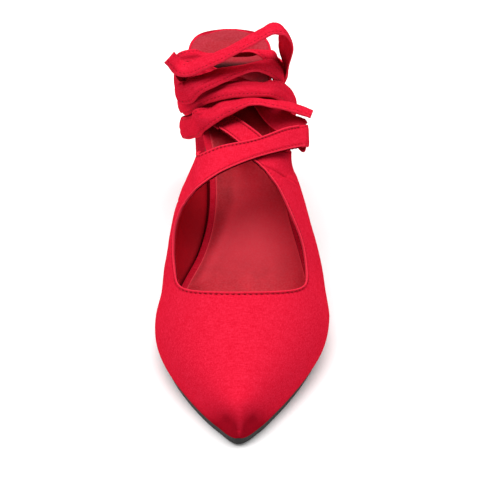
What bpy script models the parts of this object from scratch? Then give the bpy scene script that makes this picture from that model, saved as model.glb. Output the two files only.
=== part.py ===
"""Red satin tie-up pump on a tapered block heel: one left shoe, standing empty on its sole.

Frame: +X to the lateral side, +Y to the heel, +Z up, origin on the floor under the middle of the shoe.
Tables are in millimetres. A station is a distance behind the toe tip, and x is measured from the
toe line, the plane through the toe tip that runs along the shoe.
"""

from collections import namedtuple

import bmesh
import bpy
import numpy as np

# Driving dimensions, in millimetres
LENGTH = 245.0
BALL_WIDTH = 76.0
SEAT_HEIGHT = 71.0
INSTEP_HEIGHT = 33.0
WALL = 1.6
GAP = 0.3
UPPER_CLEARANCE = 0.6
SOLE_INSET = 0.4
INSOLE_THICKNESS = 3.2
FOREFOOT_SOLE = 3.0
WAIST_SOLE = 2.0
TOP_PIECE_HEIGHT = 6.0
STRAP_WIDTH = 11.5
STRAP_THICKNESS = 1.6
TOE_LINE_X = -1.25
MM = 0.001
SHARP_ANGLE = 40.0

# Fineness of the solids
OUTLINE_STEPS = 10
SOLE_ROWS = 26
INSOLE_ROWS = 30
INSOLE_COLUMNS = 8
VAMP_ROWS = 13
SIDE_COLUMNS = 7
THROAT_COLUMNS = 10
WING_STEPS = 3
HEEL_LEVELS = 6
HEEL_ROWS = 12
TIE_STEPS = 3

HALF_BALL = BALL_WIDTH / 2

# Footbed: station as a part of LENGTH, edges as parts of HALF_BALL, rise above the flat forefoot as a
# part of SEAT_HEIGHT
FootbedRow = namedtuple("FootbedRow", "station medial lateral rise")
FOOTBED = (
    FootbedRow(0.040, -0.190, 0.200, 0.007),
    FootbedRow(0.075, -0.345, 0.342, 0.001),
    FootbedRow(0.125, -0.530, 0.530, 0.000),
    FootbedRow(0.185, -0.705, 0.718, 0.000),
    FootbedRow(0.245, -0.815, 0.860, 0.000),
    FootbedRow(0.305, -0.845, 0.930, 0.000),
    FootbedRow(0.365, -0.800, 0.940, 0.012),
    FootbedRow(0.430, -0.680, 0.895, 0.067),
    FootbedRow(0.490, -0.495, 0.815, 0.162),
    FootbedRow(0.550, -0.385, 0.710, 0.277),
    FootbedRow(0.610, -0.358, 0.620, 0.402),
    FootbedRow(0.675, -0.395, 0.525, 0.552),
    FootbedRow(0.735, -0.474, 0.463, 0.677),
    FootbedRow(0.795, -0.563, 0.432, 0.777),
    FootbedRow(0.855, -0.637, 0.426, 0.852),
    FootbedRow(0.905, -0.668, 0.432, 0.887),
    FootbedRow(0.950, -0.624, 0.388, 0.907),
    FootbedRow(0.982, -0.470, 0.235, 0.917),
)
FOOTBED_TIP = FootbedRow(0.0095, 0.0, 0.0, 0.011)
FOOTBED_BACK = FootbedRow(0.996, -0.118, -0.118, 0.919)
TIP_RELIEF = 3.0
BACK_RELIEF = 0.15
SEAT_CUP = 3.6
SEAT_CUP_START = 0.80
CUP_ALONG = 0.7
CUP_ACROSS = 3
BACK_LIP_START = 0.965
BACK_LIP_RUN = 0.03

# Outsole: stations where it thins and draws in at the waist, and its cut edges
THINNING = (100.0, 140.0)
DRAWING_IN = (156.0, 180.0)
WAIST_MARGIN = -0.8
SOLE_TIP_RELIEF = 0.25
SOLE_CHAMFER = 0.5

# Upper over the forefoot: crown is the ridge above the bottom edge as a part of INSTEP_HEIGHT, flare
# the outward pull of each side as a part of HALF_BALL, shoulder how far the top stays broad
SectionRow = namedtuple("SectionRow", "station crown flare shoulder")
SECTIONS = (
    SectionRow(0.004, 0.10, 0.01, 0.50),
    SectionRow(0.015, 0.24, 0.03, 0.52),
    SectionRow(0.040, 0.38, 0.06, 0.56),
    SectionRow(0.080, 0.48, 0.11, 0.60),
    SectionRow(0.140, 0.61, 0.20, 0.62),
    SectionRow(0.200, 0.74, 0.26, 0.63),
    SectionRow(0.260, 0.88, 0.29, 0.64),
    SectionRow(0.340, 1.05, 0.29, 0.66),
    SectionRow(0.420, 1.20, 0.29, 0.68),
)
LIFT_OF_FLARE = 0.42
VAMP_PACKING = 1.7
THROAT_MIDDLE = 66.0
THROAT_DEPTH = 11.5
THROAT_CURVE = 2.0
CORNER_RISE = 2.0
CORNER_SHARPNESS = 8
VAMP_SIDE_END = 79.0
CORNER_TURN = 0.55
RIDGE_LEAN = 0.3

# Wings: front edge is the topline, rear edge stands on the bottom edge at a station
WingRow = namedtuple("WingRow", "front_x front_s front_z rear_s bulge")
BOW_NEAR_TOPLINE = 0.6
MEDIAL_WING = (
    WingRow(-28.6, 90.0, 29.0, 93.0, 7.5),
    WingRow(-29.6, 100.0, 33.0, 109.0, 9.5),
    WingRow(-29.4, 108.5, 38.0, 126.0, 12.0),
    WingRow(-27.4, 114.5, 43.5, 145.0, 12.5),
    WingRow(-24.3, 118.0, 48.0, 163.0, 8.0),
)
LATERAL_WING = (
    WingRow(30.2, 93.0, 29.5, 95.0, 8.0),
    WingRow(28.6, 104.5, 35.0, 112.0, 9.0),
    WingRow(24.0, 115.0, 43.0, 129.0, 10.5),
    WingRow(19.2, 124.5, 49.5, 147.0, 11.5),
    WingRow(15.8, 129.0, 53.0, 162.0, 10.0),
)

# Crossing straps: both edges run free of the sole, front edge first
StrapRow = namedtuple("StrapRow", "front_x front_s front_z rear_x rear_s rear_z bulge")
MEDIAL_STRAP = (
    StrapRow(-21.6, 119.6, 51.0, -18.8, 158.0, 52.0, 3.0),
    StrapRow(-18.2, 121.4, 53.8, -18.4, 144.0, 58.0, 1.5),
    StrapRow(-8.0, 127.8, 58.0, -8.2, 143.3, 63.0, 0.6),
    StrapRow(6.6, 137.1, 59.7, 8.0, 149.1, 63.7, 0.0),
    StrapRow(22.0, 147.3, 58.7, 21.5, 158.2, 64.3, 0.0),
    StrapRow(31.0, 153.2, 57.4, 28.4, 163.0, 63.2, 0.0),
)
LATERAL_STRAP = (
    StrapRow(12.6, 133.0, 55.3, 25.0, 158.0, 51.5, 4.0),
    StrapRow(9.4, 136.2, 57.2, 21.5, 152.5, 56.4, 1.2),
    StrapRow(6.0, 139.5, 58.5, 15.6, 148.8, 59.4, 0.4),
    StrapRow(1.0, 151.5, 59.2, 10.2, 158.6, 60.6, 0.0),
    StrapRow(-4.6, 163.0, 58.3, 4.2, 169.6, 60.0, 0.0),
    StrapRow(-9.6, 172.6, 56.8, -1.0, 179.2, 59.0, 0.0),
)

# The stitched tack that holds the two straps together where they cross
TACK_PLACE = (7.5, 145.5, 60.0)
TACK_SIZE = (4.0, 4.0, 3.2)

# The medial tie's slanting fold, where it turns back under its strap
FOLD_START = (31.5, 159.8, 59.3)
FOLD_ALONG = (0.82, 0.555, -0.125)
FOLD_ACROSS = (-0.22, 0.84, 0.50)
FOLD_RADIUS = 1.8
FOLD_SLANT = 26.0
FOLD_TURN = 160.0
FOLD_ROWS = 4

# Ties: the middle of the band, and the way across it from its front or lower edge to the other, square to
# the band where skew is 0 and as it stands where skew is 1
TieRow = namedtuple("TieRow", "x s z across_x across_s across_z skew", defaults=(0.0,))
MEDIAL_TIE_START = TieRow(29.8, 158.7, 59.6, -0.22, 0.84, 0.50, 1.0)
MEDIAL_TIE = (
    TieRow(27.4, 168.3, 60.2, 0.42, 0.8, 0.42),
    TieRow(22.4, 172.2, 60.4, 0.53, 0.7, 0.48),
    TieRow(17.0, 180.2, 59.8, 0.5, 0.72, 0.46),
    TieRow(10.0, 190.3, 64.0, 0.5, 0.77, 0.4),
    TieRow(0.0, 194.5, 67.0, 0.35, 0.84, 0.42),
    TieRow(-10.0, 197.7, 69.4, 0.15, 0.88, 0.44),
    TieRow(-17.5, 198.8, 72.6, 0.0, 0.87, 0.5),
    TieRow(-23.0, 198.6, 73.8, -0.05, 0.8, 0.6),
    TieRow(-27.8, 197.4, 72.8, -0.1, 0.4, 0.9),
    TieRow(-29.8, 193.4, 69.8, -0.1, 0.0, 1.0),
    TieRow(-28.9, 189.3, 67.6, 0.0, 0.1, 1.0),
    TieRow(-25.0, 187.0, 68.4, -0.15, 0.5, 0.85),
    TieRow(-20.6, 186.6, 72.4, -0.2, 0.85, 0.45),
    TieRow(-12.4, 188.6, 75.2, -0.1, 0.97, 0.2),
    TieRow(-6.6, 191.8, 76.3, -0.05, 0.98, 0.1),
    TieRow(5.0, 196.8, 76.9, 0.0, 0.97, -0.2),
    TieRow(10.8, 198.9, 76.4, 0.0, 0.98, 0.05),
    TieRow(16.2, 200.6, 74.8, 0.0, 0.9, 0.4),
    TieRow(20.0, 202.5, 70.7, 0.0, 0.82, 0.57),
    TieRow(21.0, 204.8, 65.6, 0.0, 0.78, 0.62),
    TieRow(20.8, 209.0, 60.5, 0.0, 0.68, 0.73),
    TieRow(20.3, 214.5, 55.3, 0.0, 0.5, 0.87),
    TieRow(19.6, 222.0, 49.4, 0.0, 0.25, 0.97),
    TieRow(15.5, 232.0, 46.8, 0.0, 0.1, 1.0),
    TieRow(7.0, 240.5, 46.5, 0.0, 0.0, 1.0),
    TieRow(-4.5, 243.8, 46.3, 0.0, 0.0, 1.0),
    TieRow(-16.5, 240.5, 46.3, 0.0, 0.0, 1.0),
    TieRow(-24.8, 232.0, 46.8, 0.0, -0.1, 1.0),
    TieRow(-28.2, 222.0, 47.0, 0.0, -0.2, 0.98),
    TieRow(-29.2, 212.0, 50.4, 0.0, -0.25, 0.97),
    TieRow(-28.6, 203.5, 54.8, 0.0, -0.2, 0.97),
    TieRow(-27.4, 197.0, 57.2, 0.0, 0.0, 1.0),
    TieRow(-26.8, 192.0, 59.4, -0.05, 0.15, 0.97),
    TieRow(-24.9, 188.5, 62.2, -0.15, 0.3, 0.93),
    TieRow(-20.0, 186.6, 66.6, -0.3, 0.6, 0.74),
    TieRow(-13.8, 186.0, 69.3, -0.2, 0.85, 0.48),
    TieRow(-4.4, 185.4, 71.0, -0.05, 0.95, 0.3),
    TieRow(4.9, 185.4, 71.5, 0.0, 0.97, 0.22),
    TieRow(13.6, 186.8, 70.4, 0.05, 0.98, 0.15),
    TieRow(19.0, 190.0, 68.1, 0.1, 0.95, 0.3),
    TieRow(22.8, 193.0, 64.6, 0.1, 0.88, 0.46),
    TieRow(26.2, 196.5, 59.2, 0.0, 0.82, 0.57),
    TieRow(27.2, 201.0, 52.6, 0.0, 0.72, 0.69),
    TieRow(25.6, 207.0, 45.4, 0.0, 0.52, 0.85),
    TieRow(22.2, 216.0, 38.2, 0.0, 0.3, 0.95),
    TieRow(16.8, 228.0, 33.4, 0.0, 0.15, 0.99),
    TieRow(8.6, 239.0, 32.0, 0.0, 0.0, 1.0),
    TieRow(-4.5, 243.2, 31.6, 0.0, 0.0, 1.0),
    TieRow(-17.6, 239.0, 31.6, 0.0, 0.0, 1.0),
    TieRow(-24.6, 228.0, 32.2, 0.0, -0.1, 1.0),
    TieRow(-27.4, 217.0, 34.4, 0.0, -0.2, 0.98),
    TieRow(-28.3, 207.0, 38.4, 0.0, -0.28, 0.96),
    TieRow(-26.4, 197.0, 43.2, 0.0, -0.3, 0.95),
    TieRow(-23.4, 188.0, 48.8, 0.0, -0.25, 0.97),
    TieRow(-21.0, 180.8, 53.2, -0.15, 0.15, 0.97),
    TieRow(-19.0, 176.6, 58.6, -0.4, 0.55, 0.74),
    TieRow(-12.3, 176.3, 62.0, -0.3, 0.93, 0.2),
    TieRow(-6.6, 178.0, 65.0, -0.15, 0.95, 0.25),
    TieRow(2.0, 179.4, 67.2, 0.0, 0.98, -0.05),
    TieRow(7.3, 179.0, 67.8, 0.0, 0.95, -0.25),
    TieRow(12.1, 177.8, 67.7, 0.0, 0.93, -0.35),
    TieRow(16.3, 176.8, 67.6, 0.0, 0.96, -0.25),
    TieRow(23.5, 175.9, 66.9, 0.05, 0.98, -0.18),
    TieRow(31.1, 174.6, 64.9, 0.05, 0.98, -0.18),
    TieRow(35.0, 173.8, 63.6, 0.05, 0.98, -0.18),
)
LATERAL_TIE = (
    TieRow(-5.65, 176.35, 57.0, 0.79, 0.57, 0.22),
    TieRow(-10.4, 182.2, 58.2, 0.72, 0.62, 0.3),
    TieRow(-15.2, 189.2, 61.6, 0.62, 0.66, 0.42),
    TieRow(-21.4, 194.6, 65.1, 0.42, 0.62, 0.66),
    TieRow(-25.5, 200.3, 62.2, 0.1, 0.28, 0.95),
    TieRow(-26.6, 208.0, 59.6, 0.0, 0.05, 1.0),
    TieRow(-27.0, 217.0, 60.2, 0.0, 0.0, 1.0),
    TieRow(-26.8, 228.0, 60.5, 0.0, 0.0, 1.0),
    TieRow(-23.0, 237.5, 60.5, 0.0, 0.0, 1.0),
    TieRow(-14.5, 244.8, 60.5, 0.0, 0.0, 1.0),
    TieRow(-4.5, 246.6, 60.5, 0.0, 0.0, 1.0),
    TieRow(6.0, 244.5, 60.5, 0.0, 0.0, 1.0),
    TieRow(14.0, 237.5, 60.7, 0.0, 0.0, 1.0),
    TieRow(17.6, 228.0, 61.0, 0.0, 0.05, 1.0),
    TieRow(18.2, 219.0, 62.5, 0.0, 0.2, 0.98),
    TieRow(18.4, 213.5, 66.0, 0.0, 0.5, 0.87),
    TieRow(18.2, 211.5, 71.5, 0.05, 0.85, 0.5),
    TieRow(15.6, 211.8, 75.6, 0.1, 0.93, 0.2),
    TieRow(9.5, 213.0, 77.0, 0.05, 0.85, -0.4),
    TieRow(2.0, 213.4, 76.6, 0.0, 0.78, -0.6),
    TieRow(-7.0, 213.0, 75.8, 0.0, 0.86, -0.4),
    TieRow(-15.0, 211.4, 74.8, 0.0, 0.97, 0.1),
    TieRow(-22.0, 209.4, 74.6, -0.05, 0.6, 0.8),
    TieRow(-27.8, 210.2, 72.6, -0.1, 0.5, 0.87),
    TieRow(-30.4, 212.5, 68.4, -0.1, 0.45, 0.9),
    TieRow(-31.0, 219.0, 64.4, 0.0, 0.35, 0.94),
    TieRow(-29.8, 227.0, 60.8, 0.0, 0.2, 0.98),
    TieRow(-25.5, 238.0, 58.5, 0.0, 0.1, 1.0),
    TieRow(-16.0, 246.9, 57.5, 0.0, 0.0, 1.0),
    TieRow(-4.5, 249.4, 57.3, 0.0, 0.0, 1.0),
    TieRow(7.5, 246.8, 57.5, 0.0, 0.0, 1.0),
    TieRow(16.5, 239.8, 58.0, 0.0, 0.05, 1.0),
    TieRow(21.0, 230.0, 59.5, 0.0, 0.15, 0.99),
    TieRow(22.6, 221.0, 61.8, 0.0, 0.3, 0.95),
    TieRow(23.0, 214.0, 66.0, -0.05, 0.6, 0.8),
    TieRow(22.8, 209.5, 72.0, -0.2, 0.85, 0.48),
    TieRow(22.8, 206.5, 78.5, -0.45, 0.88, 0.15),
    TieRow(23.4, 204.5, 85.0, -0.57, 0.82, 0.0),
    TieRow(22.8, 203.5, 90.5, -0.45, 0.9, 0.0),
    TieRow(20.2, 203.3, 94.4, -0.2, 0.97, 0.0),
    TieRow(16.2, 202.0, 95.2, 0.05, 0.98, 0.05),
    TieRow(11.2, 199.8, 93.7, 0.15, 0.97, 0.05),
    TieRow(3.5, 196.4, 90.6, 0.15, 0.97, 0.05),
    TieRow(-5.3, 193.4, 86.8, 0.1, 0.98, 0.05),
    TieRow(-15.0, 191.6, 82.8, 0.05, 0.98, 0.1),
    TieRow(-21.5, 191.4, 80.0, 0.1, 0.95, 0.2),
    TieRow(-25.6, 192.2, 78.7, 0.2, 0.94, 0.2),
    TieRow(-28.6, 193.8, 79.1, 0.27, 0.94, 0.15),
    TieRow(-31.0, 195.2, 80.9, 0.29, 0.95, 0.12),
    TieRow(-33.2, 196.0, 83.1, 0.29, 0.95, 0.12),
)

# Heel: the block under the seat and its wearing piece
HEEL_BREAST = 190.0
HEEL_BACK = 242.0
FOOT_FRONT = 199.0
FOOT_BACK = 238.0
FOOT_MIDDLE_X = -4.5
FOOT_HALF_WIDTH = 17.0
HEEL_INSET = 0.8
HEEL_WAIST = 0.10
HEEL_STRAIGHT = 0.35
HEEL_ROUNDNESS = 2.6
HEEL_LAST_TURN = 0.485
TOP_PIECE_PROUD = 0.3
TOP_PIECE_CHAMFER = 0.5

MATERIALS = {
    "red_satin": ((0.78, 0.02, 0.05, 1.0), 0.45),
    "red_sock": ((0.45, 0.02, 0.035, 1.0), 0.35),
    "dark_rubber": ((0.022, 0.020, 0.019, 1.0), 0.65),
    "black_rubber": ((0.012, 0.012, 0.012, 1.0), 0.6),
}


def spline(points, steps, closed=False):
    """Points along a smooth curve through the given rows, with steps to a span."""
    rows = np.asarray(points, float)
    if closed:
        rows = np.vstack([rows[-1], rows, rows[0], rows[1]])
    else:
        rows = np.vstack([2 * rows[0] - rows[1], rows, 2 * rows[-1] - rows[-2]])
    found = []
    for before, start, end, after in zip(rows, rows[1:], rows[2:], rows[3:]):
        for part in np.arange(steps) / steps:
            square, cube = part**2, part**3
            found.append(
                0.5 * (2 * start + (end - before) * part)
                + 0.5 * (2 * before - 5 * start + 4 * end - after) * square
                + 0.5 * (3 * start - before - 3 * end + after) * cube
            )
    if not closed:
        found.append(rows[-2])
    return np.array(found)


def footbed_outline(offset):
    """The footbed's edge seen from above, moved outwards by an offset: medial side first, tip to back."""
    medial = [(row.station * LENGTH, row.medial * HALF_BALL) for row in FOOTBED]
    lateral = [(row.station * LENGTH, row.lateral * HALF_BALL) for row in FOOTBED]
    tip = [(FOOTBED_TIP.station * LENGTH, FOOTBED_TIP.medial * HALF_BALL)]
    back = [(FOOTBED_BACK.station * LENGTH, FOOTBED_BACK.medial * HALF_BALL)]
    edge = spline(tip + medial + back + lateral[::-1], OUTLINE_STEPS, closed=True)
    along = np.roll(edge, -1, axis=0) - np.roll(edge, 1, axis=0)
    along /= np.linalg.norm(along, axis=1)[:, None]
    outward = np.stack([along[:, 1], -along[:, 0]], 1)
    moved = edge + outward * offset
    half = (len(FOOTBED) + 1) * OUTLINE_STEPS
    return moved[: half + 1], np.vstack([moved[half:], moved[:1]])[::-1]


def edge_x(outline, station):
    """The medial and lateral x of an outline at a station."""
    medial, lateral = outline
    return (
        float(np.interp(station, medial[:, 0], medial[:, 1])),
        float(np.interp(station, lateral[:, 0], lateral[:, 1])),
    )


RISE_CURVE = spline(
    [(row.station * LENGTH, row.rise * SEAT_HEIGHT) for row in (FOOTBED_TIP, *FOOTBED, FOOTBED_BACK)],
    OUTLINE_STEPS,
)


def footbed_height(station):
    """Height of the footbed's top along its middle."""
    rise = float(np.interp(station, RISE_CURVE[:, 0], RISE_CURVE[:, 1]))
    return FOREFOOT_SOLE + GAP + INSOLE_THICKNESS + max(rise, 0.0)


def bottom_edge_height(station):
    """Height of the footbed's underside, where the upper's bottom edge lies."""
    return footbed_height(station) - INSOLE_THICKNESS


def placed(x, station, height):
    """A table point in the shoe's own frame, in metres."""
    return ((x + TOE_LINE_X) * MM, (station - LENGTH / 2) * MM, height * MM)


def material(name):
    """One of the shoe's materials, made on first use."""
    found = bpy.data.materials.get(name)
    if found:
        return found
    colour, roughness = MATERIALS[name]
    found = bpy.data.materials.new(name)
    found.use_nodes = True
    shader = found.node_tree.nodes["Principled BSDF"]
    shader.inputs["Base Color"].default_value = colour
    shader.inputs["Roughness"].default_value = roughness
    shader.inputs["Metallic"].default_value = 0.0
    return found


def add_object(name, vertices, faces, finish, collection):
    """A mesh object with its faces turned outwards."""
    mesh = bpy.data.meshes.new(name)
    mesh.from_pydata(vertices, [], faces)
    shape = bmesh.new()
    shape.from_mesh(mesh)
    bmesh.ops.recalc_face_normals(shape, faces=shape.faces)
    shape.to_mesh(mesh)
    shape.free()
    mesh.shade_smooth()
    mesh.set_sharp_from_angle(angle=np.radians(SHARP_ANGLE))
    mesh.materials.append(material(finish))
    found = bpy.data.objects.new(name, mesh)
    collection.objects.link(found)
    return found


def ring_loft(rings):
    """Vertices and faces of a closed body through rings of equal length, its ends closed in strips."""
    count = len(rings[0])
    vertices = [point for ring in rings for point in ring]
    faces = []
    for low in range(len(rings) - 1):
        for place in range(count):
            after = (place + 1) % count
            corners = (low * count + place, low * count + after)
            faces.append((*corners, corners[1] + count, corners[0] + count))
    for start in (0, (len(rings) - 1) * count):
        for place in range(count // 2 - 1):
            left, right = start + place, start + count - 1 - place
            faces.append((left, left + 1, right - 1, right))
    return vertices, faces


def end_packed(start, end, count):
    """Stations between two ends, closer together towards both."""
    turns = np.linspace(0.0, np.pi, count)
    return start + (end - start) * (1 - np.cos(turns)) / 2


def outsole_margin(station):
    """How far the outsole's edge stands out from the footbed's, drawn in behind the upper."""
    return float(np.interp(station, DRAWING_IN, (WALL + UPPER_CLEARANCE - SOLE_INSET, WAIST_MARGIN)))


def make_outsole(collection):
    """The thin rubber sole from the toe to the heel breast, flat under the ball."""
    wide, narrow = footbed_outline(outsole_margin(0.0)), footbed_outline(outsole_margin(LENGTH))
    full = outsole_margin(0.0) - outsole_margin(LENGTH)
    tip = wide[0][0, 0]
    rings = []
    mirrored_end = 2 * (HEEL_BREAST - GAP) - tip
    for station in end_packed(tip + SOLE_TIP_RELIEF, mirrored_end, 2 * SOLE_ROWS)[:SOLE_ROWS]:
        share = (outsole_margin(station) - outsole_margin(LENGTH)) / full
        sides = np.array(edge_x(wide, station)) * share + np.array(edge_x(narrow, station)) * (1 - share)
        top = bottom_edge_height(station) - GAP
        thick = np.interp(station, THINNING, (FOREFOOT_SOLE, WAIST_SOLE))
        rings.append(
            [
                placed(sides[0], station, top),
                placed(sides[0] + SOLE_CHAMFER, station, top - thick),
                placed(sides[1] - SOLE_CHAMFER, station, top - thick),
                placed(sides[1], station, top),
            ]
        )
    vertices, faces = ring_loft(rings)
    return add_object("outsole", vertices, faces, "dark_rubber", collection)


def seat_cup(station, across):
    """How far the footbed's rim rises above its middle: only at the heel seat."""
    start = SEAT_CUP_START * LENGTH
    along = min(max((station - start) / (LENGTH - start), 0.0), 1.0)
    return SEAT_CUP * along**CUP_ALONG * abs(2 * across - 1) ** CUP_ACROSS


def make_insole(collection):
    """The wrapped footbed board, with its cupped heel seat."""
    outline = footbed_outline(0.0)
    first, last = outline[0][0, 0], outline[0][-1, 0]
    rings = []
    for station in end_packed(first + TIP_RELIEF, last - BACK_RELIEF, INSOLE_ROWS):
        medial, lateral = edge_x(outline, station)
        low = bottom_edge_height(station)
        ring = []
        for across in np.linspace(0.0, 1.0, INSOLE_COLUMNS):
            lip_share = (station / LENGTH - BACK_LIP_START) / BACK_LIP_RUN
            rise = max(seat_cup(station, across), SEAT_CUP * min(max(lip_share, 0.0), 1.0))
            ring.append(placed(medial + (lateral - medial) * across, station, footbed_height(station) + rise))
        for across in np.linspace(1.0, 0.0, INSOLE_COLUMNS):
            ring.append(placed(medial + (lateral - medial) * across, station, low))
        rings.append(ring)
    vertices, faces = ring_loft(rings)
    return add_object("insole", vertices, faces, "red_sock", collection)


def foot_ring(grow, station_share):
    """Both sides' x and the station at a share of the heel's foot: a straight breast and a round back."""
    station = FOOT_FRONT - grow + (FOOT_BACK - FOOT_FRONT + 2 * grow) * station_share
    round_part = max(0.0, (station_share - HEEL_STRAIGHT) / (1 - HEEL_STRAIGHT))
    half = (FOOT_HALF_WIDTH + grow) * np.sqrt(max(0.0, 1 - round_part**HEEL_ROUNDNESS))
    return FOOT_MIDDLE_X - half, FOOT_MIDDLE_X + half, station


def heel_shares():
    """Shares of the heel's length at its rows, closer together towards the round back."""
    return np.sin(np.linspace(0.0, HEEL_LAST_TURN * np.pi, HEEL_ROWS))


def closed_ring(rows):
    """A ring of points from rows of left x, right x, station and height, front to back and round again."""
    left = [placed(row[0], row[2], row[3]) for row in rows]
    right = [placed(row[1], row[2], row[3]) for row in rows]
    return left + right[::-1]


def make_heel(collection):
    """The covered block heel: the seat's outline above, its smaller foot below, a little drawn in between."""
    outline = footbed_outline(-HEEL_INSET)
    rings = []
    for level in np.linspace(0.0, 1.0, HEEL_LEVELS):
        rows = []
        for share in heel_shares():
            seat_station = HEEL_BREAST + (HEEL_BACK - HEEL_BREAST) * share
            seat = np.array([*edge_x(outline, seat_station), seat_station])
            foot = np.array(foot_ring(0.0, share))
            blend = level + HEEL_WAIST * np.sin(np.pi * level)
            side = seat + (foot - seat) * min(blend, 1.0)
            seat_low = bottom_edge_height(seat_station) - GAP
            height = seat_low + (TOP_PIECE_HEIGHT + GAP - seat_low) * level
            rows.append((*side, height))
        rings.append(closed_ring(rows))
    vertices, faces = ring_loft(rings)
    return add_object("heel", vertices, faces, "red_satin", collection)


def make_top_piece(collection):
    """The wearing piece under the heel, flat on the floor."""
    rings = []
    for height, grow in ((TOP_PIECE_HEIGHT, TOP_PIECE_PROUD), (0.0, TOP_PIECE_PROUD - TOP_PIECE_CHAMFER)):
        rows = [(*foot_ring(grow, share), height) for share in heel_shares()]
        rings.append(closed_ring(rows))
    vertices, faces = ring_loft(rings)
    return add_object("heel_top_piece", vertices, faces, "black_rubber", collection)


def section_values(station):
    """Crown, flare and shoulder of the upper at a station."""
    rows = np.array(SECTIONS)
    curve = spline(rows, OUTLINE_STEPS)
    place = np.clip(station / LENGTH, rows[0, 0], rows[-1, 0])
    return [float(np.interp(place, curve[:, 0], curve[:, column])) for column in (1, 2, 3)]


def bezier(start, first, second, end, turn):
    """A point on a cubic curve, or points for several turns."""
    turn = np.asarray(turn, float)[..., None]
    rest = 1 - turn
    return rest**3 * start + 3 * rest**2 * turn * first + 3 * rest * turn**2 * second + turn**3 * end


def half_section(outline, station, side, turns):
    """Points from the bottom edge, turn 0, up to the ridge, turn 1, on one side of the upper."""
    medial, lateral = edge_x(outline, station)
    edge = medial if side < 0 else lateral
    crown, flare, shoulder = section_values(station)
    low = bottom_edge_height(station)
    high = low + crown * INSTEP_HEIGHT
    ridge = (medial + lateral) / 2 * RIDGE_LEAN
    start = np.array([edge, low])
    first = np.array([edge + side * flare * HALF_BALL, low + LIFT_OF_FLARE * (high - low)])
    second = np.array([ridge + shoulder * (edge - ridge), high])
    found = bezier(start, first, second, np.array([ridge, high]), turns)
    return [(x, station, z) for x, z in found]


def throat_end(side_share):
    """Where a vamp column ends: the throat's middle, and further back towards its corners."""
    corner = CORNER_RISE * side_share**CORNER_SHARPNESS
    return THROAT_MIDDLE + THROAT_DEPTH * side_share**THROAT_CURVE + corner


def vamp_columns():
    """Side, turn and end station of each vamp column, from the medial bottom edge to the lateral one."""
    side_turns = np.linspace(0.0, CORNER_TURN, SIDE_COLUMNS)
    top_turns = np.linspace(CORNER_TURN, 1.0, THROAT_COLUMNS // 2 + 1)[1:]
    half = [(turn, VAMP_SIDE_END) for turn in side_turns]
    half[-1] = (CORNER_TURN, throat_end(1.0))
    half += [(turn, throat_end((1 - turn) / (1 - CORNER_TURN))) for turn in top_turns]
    return [(-1, *row) for row in half] + [(1, *row) for row in half[-2::-1]]


def vamp_grid(outline):
    """Rows of points over the forefoot, from the row behind the tip to the throat."""
    tip = outline[0][0, 0]
    rows = []
    for share in np.linspace(0.0, 1.0, VAMP_ROWS + 1)[1:] ** VAMP_PACKING:
        row = []
        for side, turn, end in vamp_columns():
            station = tip + (end - tip) * share
            row += half_section(outline, station, side, [turn])
        rows.append(row)
    return rows


def wing_line(outline, row, side):
    """A wing's cross-line, bottom edge first, bowed outwards as the foot is."""
    if isinstance(row, WingRow):
        medial, lateral = edge_x(outline, row.rear_s)
        rear = np.array([medial if side < 0 else lateral, row.rear_s, bottom_edge_height(row.rear_s)])
    else:
        rear = np.array([row.rear_x, row.rear_s, row.rear_z])
    front = np.array([row.front_x, row.front_s, row.front_z])
    bow = np.array([side * row.bulge, 0.0, 0.0])
    first = rear + (front - rear) / 3 + bow
    second = rear + (front - rear) * 2 / 3 + bow * BOW_NEAR_TOPLINE
    return bezier(rear, first, second, front, np.linspace(0.0, 1.0, SIDE_COLUMNS))


def seated_line(outline, line, side):
    """A cross-line with its foot brought onto the bottom edge, its top left where it is."""
    station = line[0, 1]
    edge = edge_x(outline, station)[0 if side < 0 else 1]
    shift = np.array([edge, station, bottom_edge_height(station)]) - line[0]
    return line + shift * np.linspace(1.0, 0.0, len(line))[:, None]


def wing_grid(outline, first_line, wing_rows, strap_rows, side):
    """Rows of points along a wing and its strap, from the vamp's side to the strap's end."""
    lines = [np.array(first_line)] + [wing_line(outline, row, side) for row in wing_rows + strap_rows]
    flat = spline([line.ravel() for line in lines], WING_STEPS)
    found = [row.reshape(-1, 3) for row in flat]
    seated = len(wing_rows) * WING_STEPS + 1
    return [seated_line(outline, line, side) for line in found[:seated]] + found[seated:]


def make_tack(cutters):
    """The small block of stitched cloth between the straps at their crossing."""
    corners = [
        placed(*(middle + size * (sign - 0.5) for middle, size, sign in zip(TACK_PLACE, TACK_SIZE, signs)))
        for signs in ((0, 0, 0), (1, 0, 0), (1, 1, 0), (0, 1, 0), (0, 0, 1), (1, 0, 1), (1, 1, 1), (0, 1, 1))
    ]
    faces = [(3, 2, 1, 0), (4, 5, 6, 7), (0, 1, 5, 4), (1, 2, 6, 5), (2, 3, 7, 6), (3, 0, 4, 7)]
    tack = add_object("strap_tack", corners, faces, "red_satin", cutters)
    tack.hide_render = True
    tack.display_type = "WIRE"
    return tack


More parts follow.
